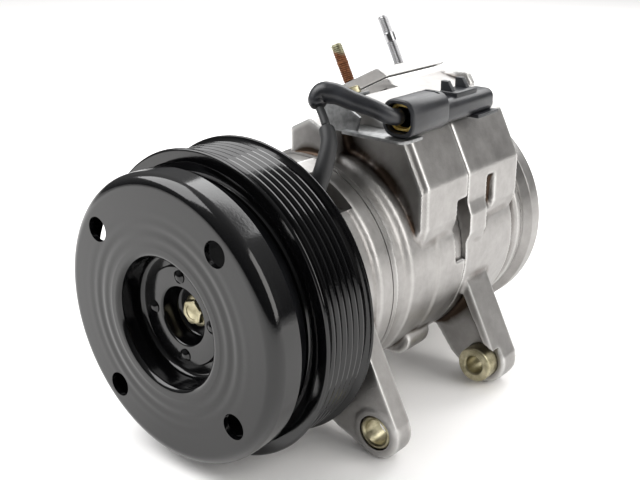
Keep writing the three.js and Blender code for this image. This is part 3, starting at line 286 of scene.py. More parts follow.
def turned(name, profile, sides=FINE, smooth=30, bump=None):
    """A profile of (radius, station) points swung round the shaft; bump(r, y, angle) moves stations."""
    profile = np.asarray(profile, dtype=float)
    angles = np.linspace(0, 2 * math.pi, sides, endpoint=False)
    radius = profile[:, 0][:, None] + np.zeros(sides)
    station = profile[:, 1][:, None] - BOLT_FACE + np.zeros(sides)
    if bump is not None:
        station = station + bump(radius, station, angles[None, :])
    points = np.stack([radius * np.cos(angles), station, radius * np.sin(angles)], axis=-1)
    closed = profile[0, 0] > 1e-6
    return make_piece(name, points.reshape(-1, 3), grid_faces(len(profile), sides, closed, True), smooth)


def rod(x, z, radius, start, end, sides=64):
    """A plain cutter or bar along the shaft's direction, standing off it at (x, z)."""
    piece = turned("rod", [(0, start), (radius, start), (radius, end), (0, end)], sides)
    piece.data.transform(matrix_at(x, z))
    return piece


def matrix_at(x, z):
    """A shift across the shaft, in millimetres."""
    return Matrix.Translation((x * MM, 0, z * MM))


def apply_stack(piece):
    """Bakes a piece's modifiers into its mesh."""
    graph = bpy.context.evaluated_depsgraph_get()
    graph.update()
    mesh = bpy.data.meshes.new_from_object(piece.evaluated_get(graph))
    old = piece.data
    piece.modifiers.clear()
    piece.data = mesh
    bpy.data.meshes.remove(old)


def carve(piece, others, operation="DIFFERENCE"):
    """Cuts the other solids out of a piece, or joins them to it, and throws them away."""
    for other in others:
        step = piece.modifiers.new("step", "BOOLEAN")
        step.operation = operation
        step.solver = "MANIFOLD"
        step.object = other
    apply_stack(piece)
    for other in others:
        bpy.data.objects.remove(other)
    return piece


def around(count, radius, start):
    """Places round a circle in the plane across the shaft."""
    angles = np.radians(start + 360 * np.arange(count) / count)
    return np.column_stack([radius * np.cos(angles), radius * np.sin(angles)])


def gloss_enamel():
    """Baked black enamel: a deep black under a clear, slightly rippled gloss with a little dust."""
    material, tree = new_material("gloss_black_enamel")
    dust = object_noise(tree, 45, 4.0, 0.6)
    shade = two_tone(tree, dust, "#040405", "#0a0a0b")
    rough = scaled(tree, dust, 0.07, 0.17)
    peel = relief(tree, object_noise(tree, 900, 2.0), 0.06, 0.0003)
    return surface(material, {"IOR": 1.5}, {"Base Color": shade, "Roughness": rough, "Normal": peel})


def draw_rings(radius, station, angle):
    """Shallow rings that deep drawing leaves on the flat face, about a third of a millimetre deep at most.

    Depth = (sine of the distance outwards over the pitch, plus one) times a bell curve about the middle."""
    face = (radius > RINGS_FROM) & (radius < RINGS_TO) & (station < 1 - BOLT_FACE)
    swell = np.sin((radius - RINGS_FROM) * 2 * math.pi / RINGS_PITCH) + 1
    waves = RINGS_DEPTH * swell * np.exp(-((radius - RINGS_MIDDLE) / RINGS_SPREAD) ** 2)
    wander = 1 + 0.25 * np.sin(2 * angle + 0.6)
    return np.where(face, waves * wander, 0)


def make_cover():
    skirt = COVER_RADIUS - COVER_WALL
    lip = MOUTH_RADIUS + MOUTH_LIP
    shoulder = COVER_RADIUS - COVER_SHOULDER
    corner = MOUTH_RADIUS - MOUTH_CORNER
    inside = MOUTH_RADIUS + COVER_WALL
    profile = np.vstack([
        [(FLANGE_BORE, FLANGE_STATION), (corner, FLANGE_STATION)],
        arc(corner, FLANGE_STATION - MOUTH_CORNER, MOUTH_CORNER, 90, 0, 6),
        arc(lip, MOUTH_LIP, MOUTH_LIP, 180, 270, 12),
        np.column_stack([np.linspace(lip + 0.5, shoulder - 0.5, 60), np.zeros(60)]),
        arc(shoulder, COVER_SHOULDER, COVER_SHOULDER, 270, 360, 20),
        [(COVER_RADIUS, COVER_SKIRT - 0.6), (COVER_RADIUS - 0.6, COVER_SKIRT), (skirt + 0.4, COVER_SKIRT)],
        [(skirt, COVER_SKIRT - 0.4)],
        arc(shoulder, COVER_SHOULDER, COVER_SHOULDER - COVER_WALL, 360, 270, 10),
        [(inside, COVER_WALL), (inside, FLANGE_STATION)],
        [(MOUTH_RADIUS - 1, FLANGE_STATION + FLANGE_WALL), (FLANGE_BORE, FLANGE_STATION + FLANGE_WALL)],
    ])
    cover = turned("cover_pressing", profile, smooth=35, bump=draw_rings)
    carve(cover, [rod(x, z, HOLE_RADIUS, -2, 5) for x, z in around(4, HOLE_CIRCLE, HOLE_START)])
    soften(cover, 35)
    return cover


def finish_piece(piece, material, slot, body, *nodes):
    """Gives a piece its material and its body, and hides the plain solids it stands for; the slot argument
    is not used.
    """
    piece.data.materials.clear()
    piece.data.materials.append(material)
    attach(piece, body)
    if nodes:
        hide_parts(*nodes)


ENAMEL = gloss_enamel()
finish_piece(make_cover(), ENAMEL, "black_paint", "drive_hub", "clutch_cover")


# ---- Hub: a forged steel cup and plate, enamelled with the cover, held by four dark rivets.
# The cup's floor takes the bolt, and a sleeve behind it slides on the splined shaft.
HUB_FACE = 10.4
HUB_PLATE = 2.2
HUB_RADIUS = 22
CUP_FLOOR = 20
CUP_WALL = 2
FLOOR_WALL = 3
BOLT_WAY = 3.3
SPLINE_BORE = 7.3
SLEEVE_RADIUS = 10.6
SLEEVE_END = 40
RIVET_CIRCLE = 17.6
RIVET_START = 2
RIVET_HOLE = 2.2
RIVET_SHANK = 1.9
RIVET_DOME = 3.1
RIVET_TAIL = 16.2


def make_hub():
    back = HUB_FACE + HUB_PLATE
    cup = HUB_CUP + CUP_WALL
    behind = CUP_FLOOR + FLOOR_WALL
    profile = np.vstack([
        [(BOLT_WAY, CUP_FLOOR)],
        arc(HUB_CUP - 2, CUP_FLOOR - 2, 2, 90, 0, 8),
        arc(HUB_CUP + 1.2, HUB_FACE + 1.2, 1.2, 180, 270, 8),
        arc(HUB_RADIUS - 0.8, HUB_FACE + 0.8, 0.8, 270, 360, 6),
        [(HUB_RADIUS, back), (cup, back), (cup, behind), (SLEEVE_RADIUS, behind)],
        [(SLEEVE_RADIUS, SLEEVE_END), (SPLINE_BORE, SLEEVE_END), (SPLINE_BORE, behind), (BOLT_WAY, behind)],
    ])
    hub = turned("hub_forging", profile, 160, 35)
    places = around(4, RIVET_CIRCLE, RIVET_START)
    carve(hub, [rod(x, z, RIVET_HOLE, HUB_FACE - 1, back + 1, 32) for x, z in places])
    soften(hub, 35)
    return hub


def make_rivet(name, x, z):
    """A dome head closed over the plate, a shank, and an upset tail behind the spring."""
    rise = RIVET_DOME / 2
    profile = np.vstack([
        [(0, HUB_FACE - rise)],
        arc(0, HUB_FACE + rise, RIVET_DOME, 276, 302, 6),
        [(RIVET_DOME - 0.25, HUB_FACE - 0.35), (RIVET_SHANK, HUB_FACE - 0.3), (RIVET_SHANK, RIVET_TAIL)],
        [(RIVET_SHANK + 1, RIVET_TAIL), (RIVET_SHANK + 0.8, RIVET_TAIL + 1), (0, RIVET_TAIL + 1.1)],
    ])
    rivet = turned(name, profile, 40, 30)
    rivet.data.transform(matrix_at(x, z))
    return rivet


finish_piece(make_hub(), ENAMEL, "black_paint", "drive_hub", "clutch_hub")
for i, (x, z) in enumerate(around(4, RIVET_CIRCLE, RIVET_START), 1):
    rivet_head = make_rivet(f"hub_rivet_head_{i}", x, z)
    finish_piece(rivet_head, ENAMEL, "black_paint", "drive_hub", f"hub_rivet_{i}")


# ---- Hub bolt: a cold-headed flange bolt, zinc plated and yellow passivated, 10 mm across flats.
# Its face is dished and its corners are chamfered as the header's die leaves them.
BOLT_FLATS = 10
BOLT_HEAD = 3.2
BOLT_COLLAR = 7.2
BOLT_COLLAR_BACK = 19.7
BOLT_SHANK = 3
BOLT_END = 37.7


def end_faces(count):
    """Two caps and the wall between two matching rings of points."""
    caps = [list(range(count)), list(range(2 * count - 1, count - 1, -1))]
    return caps + [list(f) for f in grid_faces(2, count, False, True)]


def round_edges(piece, width, segments, angle, smooth):
    """Bevels the edges that bend more than the angle, then shades the piece."""
    edge = piece.modifiers.new("edge", "BEVEL")
    edge.width = width * MM
    edge.segments = segments
    edge.limit_method = "ANGLE"
    edge.angle_limit = math.radians(angle)
    apply_stack(piece)
    soften(piece, smooth)


def prism(name, outline, start, end, bevel=0.0, smooth=30):
    """An outline across the shaft pushed along it between two stations; a bevel rounds its sharp edges."""
    outline = np.asarray(outline, dtype=float)
    count = len(outline)
    stations = [np.full(count, y - BOLT_FACE) for y in (start, end)]
    rings = [np.column_stack([outline[:, 0], y, outline[:, 1]]) for y in stations]
    piece = make_piece(name, np.vstack(rings), end_faces(count), smooth)
    if bevel:
        round_edges(piece, bevel, 3, 30, smooth)
    return piece


def zinc_plate():
    """Yellow passivated zinc: a thin straw-coloured skin over bright steel, duller in patches."""
    material, tree = new_material("yellow_zinc_plate")
    patch = object_noise(tree, 160, 4.0, 0.65)
    shade = two_tone(tree, patch, "#7d765c", "#cdc6a8", 0.3, 0.7)
    rough = scaled(tree, patch, 0.5, 0.26)
    grain = relief(tree, object_noise(tree, 1400, 2.0), 0.12, 0.0002)
    return surface(material, {"Metallic": 1.0}, {"Base Color": shade, "Roughness": rough, "Normal": grain})


def make_hub_bolt():
    corner = BOLT_FLATS / math.sqrt(3)
    outside = corner + 0.2
    hexagon = prism("hub_bolt_head", around(6, corner, 15), BOLT_FACE, BOLT_FACE + BOLT_HEAD, 0.35)
    crown = turned("crown", [
        (0, BOLT_FACE), (corner - 0.75, BOLT_FACE), (outside, BOLT_FACE + 0.65), (outside, BOLT_FACE + 4),
        (0, BOLT_FACE + 4)], 96)
    carve(hexagon, [crown], "INTERSECT")
    dish = turned("dish", [
        (0, BOLT_FACE + 0.45), (3.1, BOLT_FACE + 0.3), (3.6, BOLT_FACE - 1), (0, BOLT_FACE - 1)], 64)
    carve(hexagon, [dish])
    collar = turned("collar", np.vstack([
        [(0, BOLT_FACE + 2.4), (BOLT_COLLAR - 1.6, BOLT_FACE + 2.5)],
        arc(BOLT_COLLAR - 0.6, BOLT_FACE + 3.6, 0.6, 280, 360, 4),
        [(BOLT_COLLAR, BOLT_COLLAR_BACK), (BOLT_SHANK, BOLT_COLLAR_BACK)],
        [(BOLT_SHANK, BOLT_END), (0, BOLT_END)],
    ]), 64)
    carve(hexagon, [collar], "UNION")
    soften(hexagon, 30)
    return hexagon


ZINC = zinc_plate()
finish_piece(make_hub_bolt(), ZINC, "yellow_zinc", "drive_hub", "hub_bolt")


# ---- Armature, leaf spring, damper and shaft: the hub's steel parts behind the cover.
# The armature is a phosphated steel plate, and the damper is bonded nitrile rubber.
ARMATURE_FACE = 18.4
ARMATURE_BACK = 22.96              # a hair short of the friction face when the gap is closed
ARMATURE_RADIUS = 57
ARMATURE_BORE = 31
ARMATURE_RIVETS = 45


def machined_steel(name, dark, light, rough_from, rough_to):
    """Turned or ground steel: fine concentric tool marks about the shaft and a film of oil."""
    material, tree = new_material(name)
    place = add_node(tree, "ShaderNodeTexCoord")
    settings = {"wave_type": "RINGS", "rings_direction": "Y", "Scale": 380, "Distortion": 1.5}
    rings = add_node(tree, "ShaderNodeTexWave", settings, {"Vector": place.outputs["Object"]})
    film = object_noise(tree, 70, 3.0)
    shade = two_tone(tree, film, dark, light)
    rough = scaled(tree, film, rough_from, rough_to)
    marks = relief(tree, rings.outputs[1], 0.08, 0.0001)
    return surface(material, {"Metallic": 1.0}, {"Base Color": shade, "Roughness": rough, "Normal": marks})


def moulded_rubber():
    """Nitrile rubber: nearly black, matt, with a fine moulded grain."""
    material, tree = new_material("nitrile_rubber")
    shade = two_tone(tree, object_noise(tree, 60, 3.0), "#0c0c0e", "#1b1c1e")
    grain = relief(tree, object_noise(tree, 1200, 3.0), 0.3, 0.0002)
    return surface(material, {"Roughness": 0.55, "IOR": 1.5}, {"Base Color": shade, "Normal": grain})


def dress(names, material):
    """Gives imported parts, whose shape is already right, a finer material."""
    for name in names:
        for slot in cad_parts[name].material_slots:
            slot.material = material


def make_armature():
    front, back = ARMATURE_FACE, ARMATURE_BACK
    plate = turned("armature_disc", [
        (ARMATURE_BORE, front), (ARMATURE_RADIUS - 0.9, front), (ARMATURE_RADIUS, front + 0.9),
        (ARMATURE_RADIUS, back - 0.3), (ARMATURE_RADIUS - 0.3, back), (ARMATURE_BORE, back)], 200, 30)
    places = around(4, ARMATURE_RIVETS, RIVET_START)
    carve(plate, [rod(x, z, RIVET_HOLE, front - 1.4, back + 2.04, 32) for x, z in places])
    soften(plate, 30)
    return plate


STEEL = machined_steel("ground_steel", "#4c4d50", "#8d8e91", 0.3, 0.5)
DARK_STEEL = machined_steel("phosphated_steel", "#17181a", "#2f3033", 0.4, 0.6)
BRIGHT_STEEL = machined_steel("bearing_steel", "#9c9c9e", "#cfcfd1", 0.16, 0.3)
RUBBER = moulded_rubber()
finish_piece(make_armature(), DARK_STEEL, "steel", "armature", "armature_plate")
dress([f"armature_rivet_{i}" for i in (1, 2, 3, 4)], DARK_STEEL)
dress(["leaf_spring", "air_gap_shim", "compressor_shaft", "swash_plate"], STEEL)
dress(["rubber_damper"], RUBBER)


# ---- Rotor pulley: a steel forging with seven rolled belt grooves and a recessed friction face.
# Enamelled black after turning, so only the crests catch the light.
PULLEY_RADIUS = 68
PULLEY_FRONT = 23.15
PULLEY_REAR = 51.4
RIB_CREST = 66.2
RIB_DEPTH = 2.9
RIB_PITCH = 3.56
FIRST_CREST = 25.63
RIM_INNER = 58.6
FRICTION_FACE = 23.5
FRICTION_WALL = 5
PULLEY_BORE = 27.2
BORE_OUTSIDE = 31.4
BORE_BACK = 47.5
GROOVES = 7


def groove_profile():
    """Trapezoid grooves with small radii at crest and root, as a ribbed belt's standard gives."""
    floor = RIB_CREST - RIB_DEPTH
    points = []
    for i in range(GROOVES):
        crest = FIRST_CREST + RIB_PITCH * i
        root = crest + RIB_PITCH / 2
        points += [(RIB_CREST - 0.12, crest - 0.45), (RIB_CREST, crest - 0.3), (RIB_CREST, crest + 0.3)]
        points += [(RIB_CREST - 0.12, crest + 0.45), (floor + 0.2, root - 0.28)]
        points += [(floor, root - 0.1), (floor, root + 0.1), (floor + 0.2, root + 0.28)]
    return points


def make_pulley():
    last = FIRST_CREST + RIB_PITCH * GROOVES
    slope = FRICTION_FACE + 1.4
    behind = FRICTION_FACE + FRICTION_WALL
    profile = np.vstack([
        [(PULLEY_BORE, FRICTION_FACE + 1), (PULLEY_BORE + 3.2, FRICTION_FACE)],
        [(ARMATURE_RADIUS + 0.6, FRICTION_FACE), (ARMATURE_RADIUS + 1.4, slope), (RIM_INNER + 1.2, slope)],
        arc(RIM_INNER + 4.2, PULLEY_FRONT + 0.8, 0.8, 200, 270, 5),
        arc(PULLEY_RADIUS - 1.3, PULLEY_FRONT + 1.2, 1.2, 270, 350, 8),
        [(PULLEY_RADIUS - 0.5, FIRST_CREST - 0.9)],
        groove_profile(),
        [(RIB_CREST - 0.1, last - 0.42), (RIB_CREST + 0.1, last - 0.3)],
        arc(PULLEY_RADIUS - 0.7, last + 0.7, 0.7, 270, 360, 5),
        arc(PULLEY_RADIUS - 0.5, PULLEY_REAR - 0.5, 0.5, 0, 90, 4),
        [(RIM_INNER + 0.4, PULLEY_REAR), (RIM_INNER, PULLEY_REAR - 0.4), (RIM_INNER, behind)],
        [(BORE_OUTSIDE, behind), (BORE_OUTSIDE, BORE_BACK), (PULLEY_BORE, BORE_BACK)],
    ])
    return turned("pulley_forging", profile, 320, 32)


finish_piece(make_pulley(), ENAMEL, "black_paint", "pulley", "rotor_pulley")


# ---- Bearing and field coil: a double-row ball bearing on the nose, and a winding in a steel channel.
# The races are ground, the seals are rubber, and the winding is set in dark resin.
def cast_resin():
    """Potting resin: dark brown, glossy where it levelled itself, with faint fibres."""
    material, tree = new_material("potting_resin")
    shade = two_tone(tree, object_noise(tree, 300, 5.0, 0.7), "#1d130c", "#3f2b1c")
    return surface(material, {"Roughness": 0.4}, {"Base Color": shade})


dress(["bearing_outer_race", "bearing_inner_race", "bearing_balls_and_cage"], BRIGHT_STEEL)
dress(["bearing_front_seal", "bearing_rear_seal", "shaft_seal"], RUBBER)
dress(["bearing_snap_ring", "coil_housing"], STEEL)
dress(["coil_winding"], cast_resin())


# ---- Front housing: a high-pressure die casting with its nose, its ear and the flange bolted to the block.
# Die casting leaves soft fillets and a mottled skin, and only the nose and the joint faces are machined.
ROLL = 27
HOUSING_FACE = 52.7
HEAD_JOINT = 88.5
JOINT_RADIUS = 53.4
NOSE_RADIUS = 17.2
NOSE_END = 25
NECK_RADIUS = 51.9
HOUSING_BORE = 11.1
EAR_LINE = (29.2, -77.5)
EAR_SIDE = 41.4
EAR_RADIUS = 12.2
VOXEL = 0.9
TIE_BOLTS = around(5, 47, 126)
TIE_BOLT_WAY = 3.2
BORES = around(5, 29, 90)
BORE_RADIUS = 13.5
RELIEF_ROUNDS = 60               # how often points are averaged to find the broad shape
RIDGE_ROUNDS = 6                 # and how often to find the edges that get a painted highlight
RIDGE_HEIGHT = 0.35
HOLLOW_DEPTH = 1.1


def remesh(piece, rounds, voxel=VOXEL):
    """Gives a joined solid even faces, then rounds its edges as a casting's are, by averaging neighbours."""
    skin = piece.modifiers.new("skin", "REMESH")
    skin.mode = "VOXEL"
    skin.voxel_size = voxel * MM
    blur = piece.modifiers.new("blur", "SMOOTH")
    blur.factor = 0.5
    blur.iterations = rounds
    apply_stack(piece)
    return piece


def neighbour_average(values, edges, share):
    """Each value becomes the mean of its neighbours' values along the mesh edges."""
    total = np.zeros_like(values)
    np.add.at(total, edges[:, 0], values[edges[:, 1]])
    np.add.at(total, edges[:, 1], values[edges[:, 0]])
    return total / share


def mark_relief(piece):
    """Stores how far each point lies under (hollow) or over (ridge) the surface averaged round it."""
    mesh = piece.data
    count = len(mesh.vertices)
    spots = np.empty(count * 3)
    mesh.vertices.foreach_get("co", spots)
    spots = spots.reshape(-1, 3)
    normals = np.empty(count * 3)
    mesh.vertices.foreach_get("normal", normals)
    normals = normals.reshape(-1, 3)
    edges = np.empty(len(mesh.edges) * 2, dtype=np.int64)
    mesh.edges.foreach_get("vertices", edges)
    edges = edges.reshape(-1, 2)
    share = np.maximum(np.bincount(edges.ravel(), minlength=count), 1)[:, None]
    mean = spots
    for step in range(RELIEF_ROUNDS):
        mean = neighbour_average(mean, edges, share)
        if step + 1 == RIDGE_ROUNDS:
            near = np.einsum("ij,ij->i", spots - mean, normals) / MM
    far = np.einsum("ij,ij->i", mean - spots, normals) / MM
    for name, values in (("ridge", near / RIDGE_HEIGHT - 0.25), ("hollow", far / HOLLOW_DEPTH)):
        kept = mesh.attributes.new(name, "FLOAT", "POINT")
        kept.data.foreach_set("value", np.clip(values, 0, 1).astype(np.float32))


def tilt(piece):
    """Leans a piece over with the compressor, about the shaft."""
    piece.data.transform(Matrix.Rotation(math.radians(-ROLL), 4, "Y"))
    return piece


def slab(start, end):
    """A plain block between two stations, wider than the object, that trims a casting's joint faces."""
    return prism("slab", [(-90, -100), (90, -100), (90, 90), (-90, 90)], start, end)


def ear_outline(shoulder, radius):
    """The ear's flat side, its round boss, and the slope back to the drum."""
    corners = [(EAR_SIDE, -20), (EAR_SIDE, EAR_LINE[1])]
    return np.vstack([corners, arc(*EAR_LINE, radius, -4, -135, 18), shoulder, [(0, -20)]])


def die_cast_aluminium():
    """As-cast aluminium: a satin, mottled grey skin, with a painted highlight on convex edges, and oily
    brown staining with painted shade in corners.
    """
    material, tree = new_material("die_cast_aluminium")
    mottle = object_noise(tree, 120, 6.0, 0.62)
    skin = two_tone(tree, mottle, "#918f8d", "#a4a2a0", 0.3, 0.7)
    # Painted highlight: convex edges, found by the ridge mask, are lightened towards pale grey.
    ridge = add_node(tree, "ShaderNodeAttribute", {"attribute_name": "ridge"}).outputs["Fac"]
    bright = {"data_type": "RGBA", 7: colour("#cccbc9")}
    edge_highlight = add_node(tree, "ShaderNodeMix", bright, {0: ridge, 6: skin})
    # Oily staining and painted shade: hollows, broken up by streaky noise, are darkened towards brown.
    hollow = add_node(tree, "ShaderNodeAttribute", {"attribute_name": "hollow"}).outputs["Fac"]
    streak = object_noise(tree, 55, 5.0, 0.6)
    multiply = {"operation": "MULTIPLY", "use_clamp": True}
    hollow_oil_and_shade = add_node(tree, "ShaderNodeMath", multiply, {0: hollow, 1: streak}).outputs[0]
    oil_and_shade = scaled(tree, hollow_oil_and_shade, 0.0, 1.0, 0.08, 0.5)
    oily = {"data_type": "RGBA", 7: colour("#3f342c")}
    base = add_node(tree, "ShaderNodeMix", oily, {0: oil_and_shade, 6: edge_highlight.outputs[2]}).outputs[2]
    rough = scaled(tree, mottle, 0.36, 0.46)
    grain = relief(tree, object_noise(tree, 620, 4.0, 0.6), 0.35, 0.0003)
    return surface(material, {"Metallic": 1.0}, {"Base Color": base, "Roughness": rough, "Normal": grain})


def make_front_housing():
    flange = HEAD_JOINT + 0.3
    front = HOUSING_FACE - 0.3
    body = turned("front_housing_casting", [
        (0, front), (38, front), (38, 54.2), (48, 55.2), (NECK_RADIUS, 62.2), (NECK_RADIUS, 74.2),
        (JOINT_RADIUS, 76.2), (JOINT_RADIUS, flange), (0, flange)], 160)
    ear = prism("ear", ear_outline([(5.3, -68.9), (-12, -50)], EAR_RADIUS), 63, 73.5)
    collar = rod(*EAR_LINE, 10.6, 62.4, 74)
    pad = prism("pad", [(37, 30), (53, 22), (56, 30), (42, 44)], 60.2, 73.2)
    rib = prism("rib", [(38, -6), (54.2, -6), (54.2, 12), (38, 12)], 60.4, 63.4)
    carve(body, [ear, collar, pad, rib], "UNION")
    remesh(body, 3)
    mark_relief(body)
    carve(body, [slab(HOUSING_FACE, HEAD_JOINT)], "INTERSECT")
    nose = turned("nose", [
        (0, NOSE_END), (NOSE_RADIUS - 0.6, NOSE_END), (NOSE_RADIUS, NOSE_END + 0.6),
        (NOSE_RADIUS, 53.5), (0, 53.5)], 128)
    carve(body, [nose], "UNION")
    hollow = turned("hollow", [
        (0, 24), (HOUSING_BORE, 24), (HOUSING_BORE, 55), (14.3, 55), (14.3, 67), (9.5, 67), (9.5, 76),
        (18, 76), (20, 64), (35.2, 66), (40.2, 72), (40.2, 85), (42.9, 85), (42.9, 90), (0, 90)], 96)
    line = turned("line", [
        (JOINT_RADIUS - 0.7, 84.2), (60, 84.2), (60, 84.8), (JOINT_RADIUS - 0.7, 84.8)], 128)
    snap = turned("snap", [
        (NOSE_RADIUS - 1.2, 24.8), (19, 24.8), (19, 26.5), (NOSE_RADIUS - 1.2, 26.5)], 96)
    bush = rod(*EAR_LINE, 8.1, 60, 76)
    lead = rod(*to_upright(31, 46.5), 10, 50, 76)
    faces = [rod(x, z, 5.7, 50, 58) for x, z in TIE_BOLTS]
    holes = [rod(x, z, TIE_BOLT_WAY, 50, 90, 32) for x, z in TIE_BOLTS]
    carve(body, [hollow, line, snap, bush, lead] + faces + holes)
    soften(body, 28)
    return tilt(body)


def spun(x, z, degrees):
    """A place across the shaft, turned about it."""
    turn = math.radians(degrees)
    return x * math.cos(turn) - z * math.sin(turn), x * math.sin(turn) + z * math.cos(turn)


def to_upright(x, z):
    """A place given as the object lies, in the compressor's own frame before it leans."""
    return spun(x, z, -ROLL)


def as_it_lies(x, z):
    """A place in the compressor's own frame, given as the object lies."""
    return spun(x, z, ROLL)


CASTING = die_cast_aluminium()
finish_piece(make_front_housing(), CASTING, "cast_aluminium", "compressor_body", "front_housing")


# ---- Cylinder blocks: two die castings joined at the swash chamber, with the muffler box on their side.
# Each half carries its share of the box; the front one has a lug below, the rear one an ear and a pocket.
BLOCK_JOINT = 142
BOX_FRONT = 106
BOX_REAR = 188
BOX_WALL = 4.5
BOX_SIDE = 66.5
BOX_TOP = 69.5
BOX_LEDGE = 63
WING_FRONT = 122
CHAMBER_RADIUS = 37.6
CHAMBER_HALF = 24.8
SHAFT_WAY = 12.8
DRUM_RADIUS = 54.2
RECESS_DEPTH = 2.2
RECESS_WIDTH = 8.4
BLOCK_FRONT = 88.8
BLOCK_REAR = 197.2


def box_side(inset):
    """The muffler box's outer wall, from its sloping underside up to the shoulder."""
    side = BOX_SIDE - inset
    return [(20, -10), (53.5 - inset, -9 + inset), (58 - inset, -4 + inset), (side, 13), (side, 38),
            (54 - inset * 0.8, 57)]


def rear_outline(inset):
    """The rear half of the box across the shaft, under the port block."""
    top = BOX_TOP - inset
    roof = [(42, 66 - inset), (40.5 - inset * 0.5, top), (inset * 0.5 - 4, top)]
    return box_side(inset) + roof + [(-15 + inset, 64), (-22 + inset, 44)]


def front_outline(inset):
    """The front half is lower than the rear."""
    ledge = BOX_LEDGE - inset
    return box_side(inset) + [(48 - inset * 0.5, ledge), (16 + inset, ledge), (13 + inset, 44)]


def wing_outline(inset):
    """The front half's left part, which starts further back."""
    slope = [(4 + inset * 0.4, 60 - inset), (-10 + inset, 54 - inset * 0.5), (-14 + inset, 42)]
    return [(20, 30), (20, BOX_LEDGE - inset)] + slope


def block_cuts(start, end):
    """Cylinder bores, tie bolt holes, swash chamber and bearing bore."""
    front, back = start - 1, end + 1
    bores = [rod(x, z, BORE_RADIUS, front, back) for x, z in BORES]
    bolts = [rod(x, z, TIE_BOLT_WAY, front, back, 32) for x, z in TIE_BOLTS]
    chamber = rod(0, 0, CHAMBER_RADIUS, BLOCK_JOINT - CHAMBER_HALF, BLOCK_JOINT + CHAMBER_HALF, 96)
    return bores + bolts + [chamber, rod(0, 0, SHAFT_WAY, front, back)]


def box_cavity(outline, start, end):
    """The box's hollow, kept off the drum by a wall."""
    cavity = prism("cavity", outline, start, end)
    return carve(cavity, [rod(0, 0, DRUM_RADIUS + 2.6, start - 1, end + 1, 128)])


def make_front_block():
    start, end = BLOCK_FRONT, BLOCK_JOINT - 0.15
    behind = end + 0.4
    body = turned("front_block_casting", [
        (0, start - 0.2), (51.2, start - 0.2), (51.2, 89.8), (51.6, 95.8), (53.6, 98.8), (53.6, 118.4),
        (DRUM_RADIUS, 119.4), (DRUM_RADIUS, behind), (0, behind)], 160)
    box = prism("box", front_outline(0), BOX_FRONT + 2.5, behind)
    front = prism("front", np.array(front_outline(0)) * 0.97, BOX_FRONT, BOX_FRONT + 3.5)
    wing = prism("wing", wing_outline(0), WING_FRONT, behind)
    lug = rod(15, -48.5, 8.5, 111, 129)
    lump = prism("lump", [(12, 40), (34, 40), (35, 52), (28, 62), (15, 62), (9, 50)], 94, 108)
    carve(body, [box, front, wing, lug, lump], "UNION")
    outer = arc(0, 0, DRUM_RADIUS + 9, -18, 3, 12)
    inner = arc(0, 0, DRUM_RADIUS - RECESS_DEPTH, 3, -29, 24)
    carve(body, [prism("recess", np.vstack([outer, inner]), end - RECESS_WIDTH, end + 1)])
    remesh(body, 3)
    mark_relief(body)
    carve(body, [slab(start, end)], "INTERSECT")
    hollow = box_cavity(front_outline(BOX_WALL), BOX_FRONT + 7, end + 1)
    side_hollow = box_cavity(wing_outline(BOX_WALL), WING_FRONT + BOX_WALL, end + 1)
    carve(body, block_cuts(start, end) + [hollow, side_hollow])
    soften(body, 28)
    return tilt(body)


def make_rear_block():
    start, end = BLOCK_JOINT + 0.15, BLOCK_REAR
    front = start - 0.4
    body = turned("rear_block_casting", [
        (0, front), (DRUM_RADIUS, front), (DRUM_RADIUS, 185.6), (52, 187), (52, 192),
        (JOINT_RADIUS, 193.4), (JOINT_RADIUS, end + 0.3), (0, end + 0.3)], 160)
    box = prism("box", rear_outline(0), front, BOX_REAR)
    rib_outline = [(36, 65.5), (39.5, 67.5), (56.5, 60.5), (57.5, 54), (50, 52)]
    rib = prism("rib", rib_outline, BOX_REAR - BOX_WALL, BOX_REAR)
    ear = prism("ear", ear_outline([(12.5, -70.5), (7, -45)], EAR_RADIUS + 0.2), 151.5, 164)
    web = prism("web", [(EAR_SIDE, -20), (EAR_SIDE, -73.5), (37.4, -68.5), (35.4, -20)], 145.5, 152.5)
    boss_outline = [(48.2, 2), (60.5, 2), (59.5, -6), (55.5, -14), (50, -19), (45, -19)]
    boss = prism("boss", boss_outline, front, 157)
    carve(body, [box, rib, ear, web, boss], "UNION")
    carve(body, [prism("pocket", [(55, -16), (70, -8), (70, 9), (61, 9), (55.5, 0)], 159, 166)])
    remesh(body, 3)
    mark_relief(body)
    carve(body, [slab(start, end)], "INTERSECT")
    bush = rod(*EAR_LINE, 9.1, 139.5, 165)
    hollow = box_cavity(rear_outline(BOX_WALL), start - 1, BOX_REAR - 6)
    carve(body, block_cuts(start, end) + [hollow, bush])
    carve(body, port_bores(62, 70.5))
    soften(body, 28)
    return tilt(body)


PORT_X = 17
PORTS = ((157, 7.5), (176, 6))     # station and radius of each port


def stand_up(piece, x, station):
    """Stands a turned piece, made about the shaft, on a line that points up out of the port face."""
    lift = Matrix.Translation((x * MM, (station - BOLT_FACE) * MM, 0))
    piece.data.transform(lift @ Matrix.Rotation(math.radians(90), 4, "X"))


def upward(profile, x, station, sides=64, smooth=30, name="upward"):
    """A profile of (radius, height) points swung round a line that points up out of the port face."""
    piece = turned(name, profile, sides, smooth)
    piece.data.transform(Matrix.Translation((0, BOLT_FACE * MM, 0)))
    stand_up(piece, x, station)
    return piece


def port_bores(low, high):
    return [upward([(0, low), (r, low), (r, high), (0, high)], PORT_X, y) for y, r in PORTS]


finish_piece(make_front_block(), CASTING, "cast_aluminium", "compressor_body", "front_block")
finish_piece(make_rear_block(), CASTING, "cast_aluminium", "compressor_body", "rear_block")


# ---- Rear head and port block: the plain closing casting, and the pad that the two hose flanges bolt to.
# The pad is left as cast, and its top is flat.
REAR_JOINT = 197.5
REAR_END = 213
HEAD_RADIUS = 57
HEAD_CORNER = 4.6
PORT_TOP = 75.8
PORT_BASE = 69.8
PORT_BLOCK = (142.4, 192.8)


